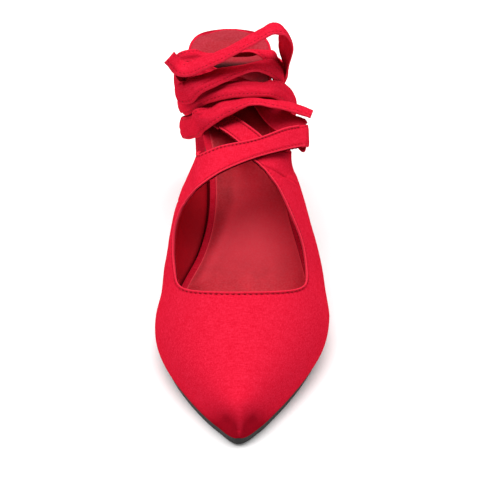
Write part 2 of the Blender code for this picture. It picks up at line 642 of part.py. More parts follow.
def make_upper(collection, cutters):
    """Vamp, wings and crossing straps as one wall, open at the throat, the back and underneath."""
    outline = footbed_outline(WALL + UPPER_CLEARANCE)
    vertices = []
    faces = []

    def add_row(points):
        start = len(vertices)
        vertices.extend(placed(*point) for point in points)
        return list(range(start, len(vertices)))

    def join(before, after):
        for place in range(len(before) - 1):
            faces.append((before[place], before[place + 1], after[place + 1], after[place]))

    vamp = vamp_grid(outline)
    tip = outline[0][0]
    pole = add_row([(tip[1], tip[0], bottom_edge_height(tip[0]) + WALL)])[0]
    previous = None
    for points in vamp:
        current = add_row(points)
        if previous is None:
            faces.extend((pole, left, right) for left, right in zip(current[1:], current))
        else:
            join(current, previous)
        previous = current
    medial_start = previous[:SIDE_COLUMNS]
    lateral_start = previous[: -SIDE_COLUMNS - 1 : -1]
    for side, start, wing_rows, strap_rows in (
        (-1, medial_start, MEDIAL_WING, MEDIAL_STRAP),
        (1, lateral_start, LATERAL_WING, LATERAL_STRAP),
    ):
        first_line = vamp[-1][:SIDE_COLUMNS] if side < 0 else vamp[-1][: -SIDE_COLUMNS - 1 : -1]
        before = start
        for points in wing_grid(outline, first_line, wing_rows, strap_rows, side)[1:]:
            current = add_row(points)
            if side < 0:
                join(current, before)
            else:
                join(before, current)
            before = current
    upper = add_object("upper", vertices, faces, "red_satin", collection)
    shell = upper.modifiers.new("wall", "SOLIDIFY")
    shell.thickness = WALL * MM
    shell.offset = -1.0
    shell.use_even_offset = False
    crossing = upper.modifiers.new("crossing", "BOOLEAN")
    crossing.operation = "UNION"
    crossing.solver = "EXACT"
    crossing.object = make_tack(cutters)
    return upper


def fold_rows():
    """Rows of a band that winds round a slanting fold line, each laid along that line."""
    along, across = np.array(FOLD_ALONG), np.array(FOLD_ACROSS)
    along /= np.linalg.norm(along)
    across -= along * (across @ along)
    across /= np.linalg.norm(across)
    out = np.cross(along, across)
    slant = np.radians(FOLD_SLANT)
    line = np.cos(slant) * across + np.sin(slant) * along
    way = (along - np.sin(slant) * line) / np.cos(slant)
    rows = []
    for angle in np.radians(np.linspace(0.0, FOLD_TURN, FOLD_ROWS)):
        reach = out * (np.cos(angle) - 1) + way * np.sin(angle) + line * angle * np.tan(slant)
        rows.append(TieRow(*(np.array(FOLD_START) + reach * FOLD_RADIUS), *line, 1.0))
    return tuple(rows)


def make_tie(name, rows, collection):
    """A folded satin band swept along its rows."""
    flat = spline(rows, TIE_STEPS)
    middle, across, skew = flat[:, :3], flat[:, 3:6], flat[:, 6:]
    along = np.gradient(middle, axis=0)
    along /= np.linalg.norm(along, axis=1)[:, None]
    lean = (across * along).sum(axis=1)[:, None]
    square = across - along * lean
    size = np.linalg.norm(square, axis=1)[:, None]
    through = np.cross(along, square / size)
    wide = (square + along * lean * skew) / size * STRAP_WIDTH / 2
    thick = through * STRAP_THICKNESS / 2
    corners = (-wide - thick, wide - thick, wide + thick, -wide + thick)
    rings = [[placed(*(point + corner[place])) for corner in corners] for place, point in enumerate(middle)]
    vertices, faces = ring_loft(rings)
    return add_object(name, vertices, faces, "red_satin", collection)


def main():
    """Builds the shoe from its pieces."""
    for found in list(bpy.data.objects):
        bpy.data.objects.remove(found)
    shoe = bpy.data.collections.new("tie_up_pump")
    cutters = bpy.data.collections.new("cutters")
    bpy.context.scene.collection.children.link(shoe)
    bpy.context.scene.collection.children.link(cutters)
    make_outsole(shoe)
    make_insole(shoe)
    make_heel(shoe)
    make_top_piece(shoe)
    make_upper(shoe, cutters)
    make_tie("tie_medial", (MEDIAL_TIE_START, *fold_rows(), *MEDIAL_TIE), shoe)
    make_tie("tie_lateral", LATERAL_TIE, shoe)


main()
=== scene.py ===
"""Looks of one left shoe, a red satin tie-up pump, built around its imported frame.

Table points are in millimetres: x from the toe line, station s behind the toe tip, z up.
The row frame is in metres: +X to the lateral side, +Y to the heel, origin on the floor.
"""

import logging
import math
from dataclasses import dataclass, field
from enum import Enum
from typing import NamedTuple, Optional, Sequence

import bmesh
import bpy
import numpy as np
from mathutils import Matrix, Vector


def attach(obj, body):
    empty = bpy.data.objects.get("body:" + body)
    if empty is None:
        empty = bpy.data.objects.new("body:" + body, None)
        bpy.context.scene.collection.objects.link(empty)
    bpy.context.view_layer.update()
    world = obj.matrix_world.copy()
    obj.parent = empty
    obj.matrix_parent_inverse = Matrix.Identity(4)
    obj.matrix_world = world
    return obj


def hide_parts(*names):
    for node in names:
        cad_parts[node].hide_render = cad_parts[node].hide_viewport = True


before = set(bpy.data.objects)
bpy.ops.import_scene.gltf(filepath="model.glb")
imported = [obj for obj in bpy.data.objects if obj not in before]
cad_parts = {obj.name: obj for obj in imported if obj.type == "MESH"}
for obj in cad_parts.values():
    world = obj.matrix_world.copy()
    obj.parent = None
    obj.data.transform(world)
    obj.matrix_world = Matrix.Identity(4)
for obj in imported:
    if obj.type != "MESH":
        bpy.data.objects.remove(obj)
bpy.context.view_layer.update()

LOG = logging.getLogger("tie_up_pump")
Points = np.ndarray
MM = 0.001
BODY = "root"
TINY = 1e-9
# Points measured against a path at a time, which keeps the memory small
BLOCK = 2000
# Points to a span of a crease, and the share of its run at each end where its height stays level
CREASE_STEPS = 6
CREASE_END = 0.04
# Inputs of a range node, colour sockets of a mix node and rays of a gap's shading
FROM = ("From Min", "From Max")
TO = ("To Min", "To Max")
FIRST, SECOND, MIXED = 6, 7, 2
GAP_SAMPLES = 8


class Slot(Enum):
    """The material slots."""

    SATIN = "red_satin"
    SOCK = "red_sock"
    SOLE = "dark_rubber"
    TOP_PIECE = "black_rubber"


class Side(Enum):
    """The two sides of the shoe, as the sign of x."""

    MEDIAL = -1
    LATERAL = 1


class Tone(Enum):
    """Shares stored on the vertices, which the materials read."""

    # Painted shade on the satin
    PAINTED_SHADE = "painted_shade_share"
    # A painted highlight along folded edges
    EDGE = "painted_edge_highlight"
    # Painted light on the sock's instep, with a lighter line along its cut edge
    INSTEP = "instep"
    # Painted shade on the heel seat
    SEAT = "heel_seat_shade"
    BAND = "rim_band"


def linear_colour(code: str) -> tuple[float, float, float, float]:
    """Turns an sRGB hex colour into linear red, green, blue and a full alpha.

    Args:
        code: The colour as #RRGGBB.

    Returns:
        The linear colour.
    """
    parts = [int(code[place : place + 2], 16) / 255 for place in (1, 3, 5)]
    low = 0.04045
    line = [part / 12.92 if part <= low else ((part + 0.055) / 1.055) ** 2.4 for part in parts]
    return (*line, 1.0)


def set_sockets(
    tree: bpy.types.NodeTree, node: bpy.types.Node, inputs: Optional[dict], links: Optional[dict]
) -> None:
    """Sets a node's input values and links.

    Args:
        tree: The node's tree.
        node: The node.
        inputs: Values by input name or index.
        links: Output sockets to link, by input name or index.
    """
    for name, value in (inputs or {}).items():
        node.inputs[name].default_value = value
    for name, socket in (links or {}).items():
        tree.links.new(socket, node.inputs[name])


def add_node(
    tree: bpy.types.NodeTree,
    kind: str,
    inputs: Optional[dict] = None,
    links: Optional[dict] = None,
    ramp: Sequence[str] = (),
    **settings: object,
) -> bpy.types.Node:
    """Adds a node with its settings, input values and links.

    Args:
        tree: The node tree to add to.
        kind: The node's type, without the prefix that all of them have.
        inputs: Values by input name or index.
        links: Output sockets to link, by input name or index.
        ramp: The two end colours of a colour ramp.
        **settings: Properties of the node.

    Returns:
        The new node.
    """
    node = tree.nodes.new("ShaderNode" + kind)
    for name, value in settings.items():
        setattr(node, name, value)
    for place, code in enumerate(ramp):
        node.color_ramp.elements[place].color = linear_colour(code)
    set_sockets(tree, node, inputs, links)
    return node


def new_material(name: str) -> tuple[bpy.types.Material, bpy.types.NodeTree, bpy.types.Node]:
    """Makes an empty node material with its main shader.

    Args:
        name: The material's name.

    Returns:
        The material, its tree and the shader node.
    """
    made = bpy.data.materials.new(name)
    made.use_nodes = True
    tree = made.node_tree
    return made, tree, tree.nodes["Principled BSDF"]


def shade_gaps(
    tree: bpy.types.NodeTree,
    tint: bpy.types.NodeSocket,
    colour: str,
    reach: float,
    air: tuple[float, float],
    painted_shade: Optional[bpy.types.NodeSocket] = None,
) -> bpy.types.NodeSocket:
    """Paints shade into a colour where the surface lies in a narrow gap.

    Args:
        tree: The node tree to add to.
        tint: The colour in the open.
        colour: The painted shade's colour deep in a gap.
        reach: How near another surface counts, in millimetres.
        air: Shares of open air at which the surface is fully dark and fully lit.
        painted_shade: A share of painted shade taken off the light.

    Returns:
        The darkened colour.
    """
    open_air = add_node(tree, "AmbientOcclusion", {"Distance": reach * MM}, samples=GAP_SAMPLES)
    lit = add_node(tree, "MapRange", dict(zip(FROM, air)), {"Value": open_air.outputs["AO"]}).outputs[0]
    if painted_shade is not None:
        lit = add_node(tree, "Math", links={0: lit, 1: painted_shade}, operation="SUBTRACT").outputs[0]
    dark = {FIRST: linear_colour(colour)}
    return add_node(tree, "Mix", dark, {0: lit, SECOND: tint}, data_type="RGBA").outputs[MIXED]


def lay_skin(
    tree: bpy.types.NodeTree,
    shader: bpy.types.Node,
    finish: "SatinCloth | CoatedLeather | MouldedRubber",
    tint: bpy.types.NodeSocket,
    share: bpy.types.NodeSocket,
    height: bpy.types.NodeSocket,
) -> None:
    """Gives a shader its colour, gloss, roughness and relief.

    Args:
        tree: The shader's tree.
        shader: The main shader.
        finish: The finish whose values are used.
        tint: The colour.
        share: The pattern by which the roughness swings.
        height: The pattern that stands out.
    """
    swing = [finish.roughness + part for part in finish.rough_swing]
    rough = add_node(tree, "MapRange", dict(zip(TO, swing)), {"Value": share}).outputs[0]
    raised = {"Strength": finish.bump, "Distance": finish.relief * MM}
    bump = add_node(tree, "Bump", raised, {"Height": height}).outputs["Normal"]
    links = {"Base Color": tint, "Roughness": rough, "Normal": bump}
    set_sockets(tree, shader, {"Specular IOR Level": finish.gloss}, links)


@dataclass(frozen=True)
class SatinCloth:
    """Polyester satin, woven with long floats: a soft broad sheen over a fine mottled thread."""

    name: str = "polyester_satin_woven"
    colour: str = "#E02844"
    shade: str = "#C20822"
    gloss_tint: str = "#FF6474"
    gloss: float = 0.0
    roughness: float = 0.46
    rough_swing: tuple[float, float] = (0.06, -0.06)
    metal: float = 0.1
    # A thread is about 0.15 mm wide, too fine for the render, so it is drawn this coarse
    thread: float = 0.42
    float_length: float = 3.0
    thread_detail: float = 2.0
    thread_fuzz: float = 0.55
    weave_range: tuple[float, float] = (0.1, 0.42)
    mottle: float = 2.6
    mottle_stretch: float = 3.0
    mottle_detail: float = 3.0
    mottle_share: float = 0.3
    relief: float = 0.16
    bump: float = 0.55
    # Painted shade in narrow gaps: its colour, how near another surface counts, and its shares of open air
    gap_shade_colour: str = "#920A1C"
    gap_reach: float = 10.0
    gap_air: tuple[float, float] = (0.2, 0.85)
    # A painted highlight along the folded edges: its colour and its strength
    edge_highlight_colour: str = "#FA3E56"
    edge_highlight_share: float = 0.55

    def make(self) -> bpy.types.Material:
        """Builds the cloth's node material.

        Returns:
            The material.
        """
        made, tree, shader = new_material(self.name)
        place = add_node(tree, "TexCoord").outputs["Object"]
        fine, long = 1 / (self.thread * MM), 1 / (self.float_length * MM)
        streak = 1 / (self.mottle * MM)
        threads = {"Scale": 1.0, "Detail": self.thread_detail, "Roughness": self.thread_fuzz}
        blotches = {"Scale": 1.0, "Detail": self.mottle_detail}
        layers = (
            ((fine, long, fine), threads),
            ((long, fine, fine), threads),
            ((streak / self.mottle_stretch, streak, streak), blotches),
        )
        noises = []
        for scale, noise in layers:
            turned = add_node(tree, "Mapping", {"Scale": scale}, {"Vector": place}).outputs[0]
            noises.append(add_node(tree, "TexNoise", noise, {"Vector": turned}).outputs["Fac"])
        warp, weft, blotch = noises
        weave = add_node(tree, "Math", links={0: warp, 1: weft}, operation="MULTIPLY").outputs[0]
        tone = add_node(tree, "MapRange", dict(zip(FROM, self.weave_range)), {"Value": weave}).outputs[0]
        share = add_node(tree, "Mix", {0: self.mottle_share}, {2: tone, 3: blotch}).outputs[0]
        ramp = add_node(tree, "ValToRGB", links={"Fac": share}, ramp=(self.shade, self.colour))
        # Painted shade: darker in narrow gaps, on the toe's nose, in its hollows and along the seams
        painted_shade = add_node(tree, "Attribute", attribute_name=Tone.PAINTED_SHADE.value).outputs["Fac"]
        tint = ramp.outputs["Color"]
        tint = shade_gaps(tree, tint, self.gap_shade_colour, self.gap_reach, self.gap_air, painted_shade)
        # A painted highlight along the folded edges
        edge = add_node(tree, "Attribute", attribute_name=Tone.EDGE.value).outputs["Fac"]
        edge = add_node(tree, "Math", {1: self.edge_highlight_share}, {0: edge}, operation="MULTIPLY").outputs[0]
        light = {SECOND: linear_colour(self.edge_highlight_colour)}
        tint = add_node(tree, "Mix", light, {0: edge, FIRST: tint}, data_type="RGBA").outputs[MIXED]
        lay_skin(tree, shader, self, tint, share, weave)
        sheen = {"Metallic": self.metal, "Specular Tint": linear_colour(self.gloss_tint)}
        set_sockets(tree, shader, sheen, None)
        return made


@dataclass(frozen=True)
class CoatedLeather:
    """Split leather, coated and plated smooth: an even semi-gloss with a faint grain."""

    name: str
    colour: str
    shade: str
    roughness: float
    rough_swing: tuple[float, float] = (0.07, -0.05)
    # A pore is about 0.4 mm, drawn a little coarser so that it shows
    grain: float = 0.7
    speck: float = 0.9
    speck_detail: float = 3.0
    speck_range: tuple[float, float] = (0.35, 0.7)
    cloud: float = 16.0
    cloud_detail: float = 8.0
    cloud_fuzz: float = 0.72
    cloud_range: tuple[float, float] = (0.32, 0.68)
    relief: float = 0.06
    bump: float = 0.35
    gloss: float = 0.5
    # Painted shade in narrow gaps: its colour, how near another surface counts, and its shares of open air
    gap_shade_colour: str = "#6E0410"
    gap_reach: float = 13.0
    gap_air: tuple[float, float] = (0.3, 0.85)
    bloom: float = 0.03
    bloom_colour: str = "#E46C7A"
    band_colour: Optional[str] = None
    # Painted shade on the heel seat
    seat_shade_colour: Optional[str] = None
    # The lighter colour of the painted light on the instep, and of the line along the cut edge
    instep_colour: Optional[str] = None

    def make(self) -> bpy.types.Material:
        """Builds the leather's node material.

        Returns:
            The material.
        """
        made, tree, shader = new_material(self.name)
        place = {"Vector": add_node(tree, "TexCoord").outputs["Object"]}
        pores = add_node(tree, "TexVoronoi", {"Scale": 1 / (self.grain * MM)}, place).outputs["Distance"]
        specks = {"Scale": 1 / (self.speck * MM), "Detail": self.speck_detail}
        nap = add_node(tree, "TexNoise", specks, place).outputs["Fac"]
        bloom = {**dict(zip(FROM, self.speck_range)), "To Max": self.bloom}
        pale = add_node(tree, "MapRange", bloom, {"Value": nap}).outputs[0]
        clouds = {
            "Scale": 1 / (self.cloud * MM),
            "Detail": self.cloud_detail,
            "Roughness": self.cloud_fuzz,
        }
        cloud = add_node(tree, "TexNoise", clouds, place).outputs["Fac"]
        share = add_node(tree, "MapRange", dict(zip(FROM, self.cloud_range)), {"Value": cloud}).outputs[0]
        ramp = add_node(tree, "ValToRGB", links={"Fac": share}, ramp=(self.shade, self.colour))
        # Painted light on the instep and painted shade on the heel seat, beside the pressed band's colour
        areas = {
            Tone.INSTEP: self.instep_colour,
            Tone.SEAT: self.seat_shade_colour,
            Tone.BAND: self.band_colour,
        }
        layers = [
            (add_node(tree, "Attribute", attribute_name=area.value).outputs["Fac"], colour)
            for area, colour in areas.items()
            if colour
        ]
        tint = ramp.outputs["Color"]
        for inside, colour in [*layers, (pale, self.bloom_colour)]:
            over = {SECOND: linear_colour(colour)}
            tint = add_node(tree, "Mix", over, {0: inside, FIRST: tint}, data_type="RGBA").outputs[MIXED]
        # Painted shade in narrow gaps, such as beside the wings and under the straps
        tint = shade_gaps(tree, tint, self.gap_shade_colour, self.gap_reach, self.gap_air)
        lay_skin(tree, shader, self, tint, share, pores)
        return made


@dataclass(frozen=True)
class MouldedRubber:
    """Thermoplastic rubber, moulded matt: a dull skin with a fine pebble and paler scuffs."""

    name: str
    colour: str
    scuff: str
    gloss: float = 0.5
    roughness: float = 0.62
    rough_swing: tuple[float, float] = (0.0, 0.15)
    pebble: float = 0.9
    scuff_size: float = 9.0
    scuff_detail: float = 6.0
    scuff_range: tuple[float, float] = (0.5, 0.78)
    relief: float = 0.12
    bump: float = 0.5

    def make(self) -> bpy.types.Material:
        """Builds the rubber's node material.

        Returns:
            The material.
        """
        made, tree, shader = new_material(self.name)
        place = {"Vector": add_node(tree, "TexCoord").outputs["Object"]}
        pebble = add_node(tree, "TexVoronoi", {"Scale": 1 / (self.pebble * MM)}, place).outputs["Distance"]
        scuffs = {"Scale": 1 / (self.scuff_size * MM), "Detail": self.scuff_detail}
        worn = add_node(tree, "TexNoise", scuffs, place).outputs["Fac"]
        share = add_node(tree, "MapRange", dict(zip(FROM, self.scuff_range)), {"Value": worn}).outputs[0]
        ramp = add_node(tree, "ValToRGB", links={"Fac": share}, ramp=(self.colour, self.scuff))
        lay_skin(tree, shader, self, ramp.outputs["Color"], share, pebble)
        return made


@dataclass(frozen=True)
class SpunThread:
    """Polyester sewing thread, spun and twisted: a dull cord, darker than the cloth it sinks into."""

    name: str = "polyester_thread_spun"
    colour: str = "#B00C22"
    shade: str = "#8A0618"
    roughness: float = 0.6
    gloss: float = 0.1
    # A ply's turn is about 0.5 mm long
    twist: float = 0.5
    unevenness: float = 1.5
    relief: float = 0.05
    bump: float = 0.4

    def make(self) -> bpy.types.Material:
        """Builds the thread's node material.

        Returns:
            The material.
        """
        made, tree, shader = new_material(self.name)
        place = {"Vector": add_node(tree, "TexCoord").outputs["Object"]}
        plies = {"Scale": 1 / (self.twist * MM) / (2 * math.pi), "Distortion": self.unevenness}
        ply = add_node(tree, "TexWave", plies, place, bands_direction="DIAGONAL").outputs["Fac"]
        ramp = add_node(tree, "ValToRGB", links={"Fac": ply}, ramp=(self.shade, self.colour))
        raised = {"Strength": self.bump, "Distance": self.relief * MM}
        bump = add_node(tree, "Bump", raised, {"Height": ply})
        values = {"Roughness": self.roughness, "Specular IOR Level": self.gloss}
        links = {"Base Color": ramp.outputs["Color"], "Normal": bump.outputs["Normal"]}
        set_sockets(tree, shader, values, links)
        return made


@dataclass
class Finishes:
    """Every material of the shoe, made once."""

    satin: bpy.types.Material = field(default_factory=lambda: SatinCloth().make())
    lining: bpy.types.Material = field(
        default_factory=lambda: CoatedLeather(
            "split_leather_lining_coated", "#CC0C23", "#BC0A1F", roughness=0.5, gloss=0.1
        ).make()
    )
    sock: bpy.types.Material = field(
        default_factory=lambda: CoatedLeather(
            "split_leather_sock_plated",
            "#C41026",
            "#960414",
            roughness=0.36,
            gloss=0.07,
            bloom=0.12,
            band_colour="#A81A2C",
            # Painted shade on the heel seat
            seat_shade_colour="#9E0E20",
            # Painted light on the instep
            instep_colour="#FF3C50",
        ).make()
    )
    sole: bpy.types.Material = field(
        default_factory=lambda: MouldedRubber("rubber_sole_moulded", "#191716", "#262423").make()
    )
    top_piece: bpy.types.Material = field(
        default_factory=lambda: MouldedRubber("rubber_top_piece_moulded", "#171615", "#2A2826").make()
    )
    thread: bpy.types.Material = field(default_factory=lambda: SpunThread().make())


def spline(points: Sequence, steps: int, closed: bool = False) -> Points:
    """Points along a smooth curve through the given rows.

    Args:
        points: The rows that the curve passes through.
        steps: Points to a span.
        closed: Whether the curve runs back to its start.

    Returns:
        The curve's points.
    """
    rows = np.asarray(points, float)
    if closed:
        rows = np.vstack([rows[-1], rows, rows[0], rows[1]])
    else:
        rows = np.vstack([2 * rows[0] - rows[1], rows, 2 * rows[-1] - rows[-2]])
    found = []
    for before, start, end, after in zip(rows, rows[1:], rows[2:], rows[3:]):
        for part in np.arange(steps) / steps:
            found.append(
                0.5 * (2 * start + (end - before) * part)
                + 0.5 * (2 * before - 5 * start + 4 * end - after) * part**2
                + 0.5 * (3 * start - before - 3 * end + after) * part**3
            )
    if not closed:
        found.append(rows[-2])
    return np.array(found)


def bezier(start: Points, first: Points, second: Points, end: Points, turn: Sequence) -> Points:
    """Points on a cubic curve.

    Args:
        start: Where the curve starts.
        first: The first handle.
        second: The second handle.
        end: Where the curve ends.
        turn: Shares of the way, 0 to 1.

    Returns:
        A point for each share.
    """
    turn = np.asarray(turn, float)[..., None]
    rest = 1 - turn
    return rest**3 * start + 3 * rest**2 * turn * first + 3 * rest * turn**2 * second + turn**3 * end


def end_packed(start: float, end: float, count: int) -> Points:
    """Stations between two ends, closer together towards both."""
    return start + (end - start) * (1 - np.cos(np.linspace(0.0, np.pi, count))) / 2


def unit(vectors: Points) -> Points:
    """The vectors at length 1."""
    return vectors / np.maximum(np.linalg.norm(vectors, axis=-1, keepdims=True), TINY)


def bell(distance: Points, width: float) -> Points:
    """A soft hump of height 1 that fades over a width."""
    return np.exp(-((distance / width) ** 2))


def along_path(path: Points) -> Points:
    """The length run at each point of a path."""
    return np.concatenate([[0.0], np.cumsum(np.linalg.norm(np.diff(path, axis=0), axis=1))])


def at_length(run: Points, values: Points, place: Points) -> Points:
    """The values, each a row of columns, at one or more lengths along a path."""
    return np.stack([np.interp(place, run, column) for column in values.T], axis=-1)


def near_path(points: Points, path: Points) -> tuple[Points, Points]:
    """How far points lie from a path, and how far along it.

    Args:
        points: The points to measure.
        path: The path's points.

    Returns:
        The distances and the lengths run along the path.
    """
    span = np.diff(path, axis=0)
    run = along_path(path)
    away, place = np.zeros(len(points)), np.zeros(len(points))
    for start in range(0, len(points), BLOCK):
        block = points[start : start + BLOCK]
        offset = block[:, None, :] - path[None, :-1]
        share = np.clip((offset * span).sum(2) / np.maximum((span**2).sum(1), TINY), 0.0, 1.0)
        distance = np.linalg.norm(offset - share[..., None] * span, axis=2)
        best = distance.argmin(1)
        rows = np.arange(len(block))
        away[start : start + BLOCK] = distance[rows, best]
        place[start : start + BLOCK] = run[best] + share[rows, best] * np.diff(run)[best]
    return away, place


class FootbedRow(NamedTuple):
    """Footbed at a station, in parts of the length, half the ball width and the seat height."""

    station: float
    medial: float
    lateral: float
    rise: float


class SectionRow(NamedTuple):
    """Upper's section at a station: crown, outward pull of its sides and breadth of its top."""

    station: float
    crown: float
    flare: float
    shoulder: float


class WingRow(NamedTuple):
    """A wing's cross-line: its topline point, the station of its foot and its bow."""

    front_x: float
    front_s: float
    front_z: float
    rear_s: float
    bulge: float


class StrapRow(NamedTuple):
    """A strap's cross-line: its front and rear edge points and its bow."""

    front_x: float
    front_s: float
    front_z: float
    rear_x: float
    rear_s: float
    rear_z: float
    bulge: float


class TieRow(NamedTuple):
    """A point on a tie's middle, and the way across the band: squared at skew 0, as it stands at 1."""

    x: float
    s: float
    z: float
    across_x: float
    across_s: float
    across_z: float
    skew: float = 0.0


class Crease(NamedTuple):
    """A soft fold in table points: a ridge where height is above 0, a trough below."""

    path: tuple[tuple[float, float, float], ...]
    height: float
    width: float

    def rise(self, points: Points) -> Points:
        """How far the fold lifts points, fading towards its two ends.

        Args:
            points: The points, in table millimetres.

        Returns:
            The lift of each point.
        """
        path = spline(self.path, CREASE_STEPS) if len(self.path) > 2 else np.array(self.path)
        away, run = near_path(points, path)
        share = np.clip(run / along_path(path)[-1], CREASE_END, 1 - CREASE_END)
        return self.height * np.sin(np.pi * share) ** 0.5 * bell(away, self.width)


class SheetIds(NamedTuple):
    """Vertex numbers of the upper's vamp, medial wing and lateral wing, row by row."""

    vamp: Points
    medial: Points
    lateral: Points


Outline = tuple[Points, Points]
Face = tuple[int, ...]


@dataclass
class Last:
    """The foot form that upper, footbed, sole and heel share, in millimetres."""

    length: float = 245.0
    ball_width: float = 76.0
    seat_height: float = 71.0
    instep_height: float = 33.0
    wall: float = 1.6
    gap: float = 0.3
    upper_clearance: float = 0.6
    insole_thickness: float = 3.2
    forefoot_sole: float = 3.0
    toe_line_x: float = -1.25
    outline_steps: int = 24
    seat_cup: float = 3.6
    seat_cup_start: float = 0.80
    cup_along: float = 0.7
    cup_across: float = 3.0
    back_lip_start: float = 0.965
    back_lip_run: float = 0.03
    tip: FootbedRow = FootbedRow(0.0095, 0.0, 0.0, 0.011)
    back: FootbedRow = FootbedRow(0.996, -0.118, -0.118, 0.919)
    rows: tuple[FootbedRow, ...] = (
        FootbedRow(0.040, -0.190, 0.200, 0.007),
        FootbedRow(0.075, -0.345, 0.342, 0.001),
        FootbedRow(0.125, -0.530, 0.530, 0.000),
        FootbedRow(0.185, -0.705, 0.718, 0.000),
        FootbedRow(0.245, -0.815, 0.860, 0.000),
        FootbedRow(0.305, -0.845, 0.930, 0.000),
        FootbedRow(0.365, -0.800, 0.940, 0.012),
        FootbedRow(0.430, -0.680, 0.895, 0.067),
        FootbedRow(0.490, -0.495, 0.815, 0.162),
        FootbedRow(0.550, -0.385, 0.710, 0.277),
        FootbedRow(0.610, -0.358, 0.620, 0.402),
        FootbedRow(0.675, -0.395, 0.525, 0.552),
        FootbedRow(0.735, -0.474, 0.463, 0.677),
        FootbedRow(0.795, -0.563, 0.432, 0.777),
        FootbedRow(0.855, -0.637, 0.426, 0.852),
        FootbedRow(0.905, -0.668, 0.432, 0.887),
        FootbedRow(0.950, -0.624, 0.388, 0.907),
        FootbedRow(0.982, -0.470, 0.235, 0.917),
    )

    def __post_init__(self) -> None:
        """Works out the curve of the footbed's rise."""
        rows = (self.tip, *self.rows, self.back)
        self.half_ball = self.ball_width / 2
        self.rise_curve = spline(
            [(row.station * self.length, row.rise * self.seat_height) for row in rows], self.outline_steps
        )

    def placed(self, points: Points) -> Points:
        """Table points in the row frame, in metres."""
        return (np.asarray(points, float) + (self.toe_line_x, -self.length / 2, 0.0)) * MM

    def outline(self, offset: float) -> Outline:
        """The footbed's edge seen from above, moved outwards.

        Args:
            offset: How far it is moved, in millimetres.

        Returns:
            The medial and the lateral side as station and x, tip to back.
        """
        medial = [(row.station * self.length, row.medial * self.half_ball) for row in self.rows]
        lateral = [(row.station * self.length, row.lateral * self.half_ball) for row in self.rows]
        tip = [(self.tip.station * self.length, self.tip.medial * self.half_ball)]
        back = [(self.back.station * self.length, self.back.medial * self.half_ball)]
        edge = spline(tip + medial + back + lateral[::-1], self.outline_steps, closed=True)
        along = unit(np.roll(edge, -1, axis=0) - np.roll(edge, 1, axis=0))
        moved = edge + np.stack([along[:, 1], -along[:, 0]], 1) * offset
        half = (len(self.rows) + 1) * self.outline_steps
        return moved[: half + 1], np.vstack([moved[half:], moved[:1]])[::-1]

    @staticmethod
    def edge_x(outline: Outline, station: float) -> tuple[float, float]:
        """The two sides of an outline at a station.

        Args:
            outline: The outline's medial and lateral side.
            station: Distance behind the toe tip.

        Returns:
            The medial and the lateral x.
        """
        medial, lateral = outline
        return (
            float(np.interp(station, medial[:, 0], medial[:, 1])),
            float(np.interp(station, lateral[:, 0], lateral[:, 1])),
        )

    def footbed_height(self, station: float) -> float:
        """Height of the footbed's top along its middle."""
        rise = float(np.interp(station, self.rise_curve[:, 0], self.rise_curve[:, 1]))
        return self.forefoot_sole + self.gap + self.insole_thickness + max(rise, 0.0)

    def bottom_edge(self, station: float) -> float:
        """Height of the footbed's underside, where the upper's bottom edge lies."""
        return self.footbed_height(station) - self.insole_thickness

    def rim_rise(self, station: float, across: float) -> float:
        """How far the footbed's rim rises above its middle, only at the heel seat.

        Args:
            station: Distance behind the toe tip.
            across: Share of the way from the medial edge to the lateral one.

        Returns:
            The rise, in millimetres.
        """
        start = self.seat_cup_start * self.length
        along = min(max((station - start) / (self.length - start), 0.0), 1.0)
        cup = self.seat_cup * along**self.cup_along * abs(2 * across - 1) ** self.cup_across
        lip = min(max((station / self.length - self.back_lip_start) / self.back_lip_run, 0.0), 1.0)
        return max(cup, self.seat_cup * lip)


def add_mesh(
    name: str, points: Points, faces: Sequence[Face], materials: Sequence[bpy.types.Material]
) -> bpy.types.Object:
    """Makes a smooth-shaded mesh piece.

    Args:
        name: The piece's name.
        points: Vertices in the row frame, in metres.
        faces: Rings of vertex numbers.
        materials: The piece's materials.

    Returns:
        The new object.
    """
    mesh = bpy.data.meshes.new(name)
    mesh.from_pydata([tuple(point) for point in points], [], faces)
    shape = bmesh.new()
    shape.from_mesh(mesh)
    bmesh.ops.recalc_face_normals(shape, faces=shape.faces)
    shape.to_mesh(mesh)
    shape.free()
    for found in materials:
        mesh.materials.append(found)
    mesh.shade_smooth()
    made = bpy.data.objects.new(name, mesh)
    bpy.context.scene.collection.objects.link(made)
    return made


def add_tone(piece: bpy.types.Object, tone: Tone, values: Points) -> None:
    """Stores a share from 0 to 1 on each vertex, for the material to read.

    Args:
        piece: The mesh object.
        tone: What the share is of.
        values: One value a vertex.
    """
    layer = piece.data.attributes.new(tone.value, "FLOAT", "POINT")
    layer.data.foreach_set("value", np.clip(values, 0.0, 1.0).astype(np.float32))


def thicken(piece: bpy.types.Object, thickness: float, inner: int = 0) -> None:
    """Gives a sheet its thickness, inwards from its outer face.

    Args:
        piece: The sheet.
        thickness: Its thickness, in millimetres.
        inner: The number of the material on its inner face.
    """
    shell = piece.modifiers.new("thickness", "SOLIDIFY")
    shell.thickness = thickness * MM
    shell.offset = -1.0
    shell.material_offset = inner


def soften_edges(piece: bpy.types.Object, width: float, segments: int = 2, angle: float = 50.0) -> None:
    """Rounds a piece's hard edges.

    Args:
        piece: The piece.
        width: The rounding's width, in millimetres.
        segments: Strips in the rounding.
        angle: Edges sharper than this many degrees are rounded.
    """
    bevel = piece.modifiers.new("rounded_edges", "BEVEL")
    bevel.width = width * MM
    bevel.segments = segments
    bevel.limit_method = "ANGLE"
    bevel.angle_limit = math.radians(angle)
    bevel.use_clamp_overlap = True


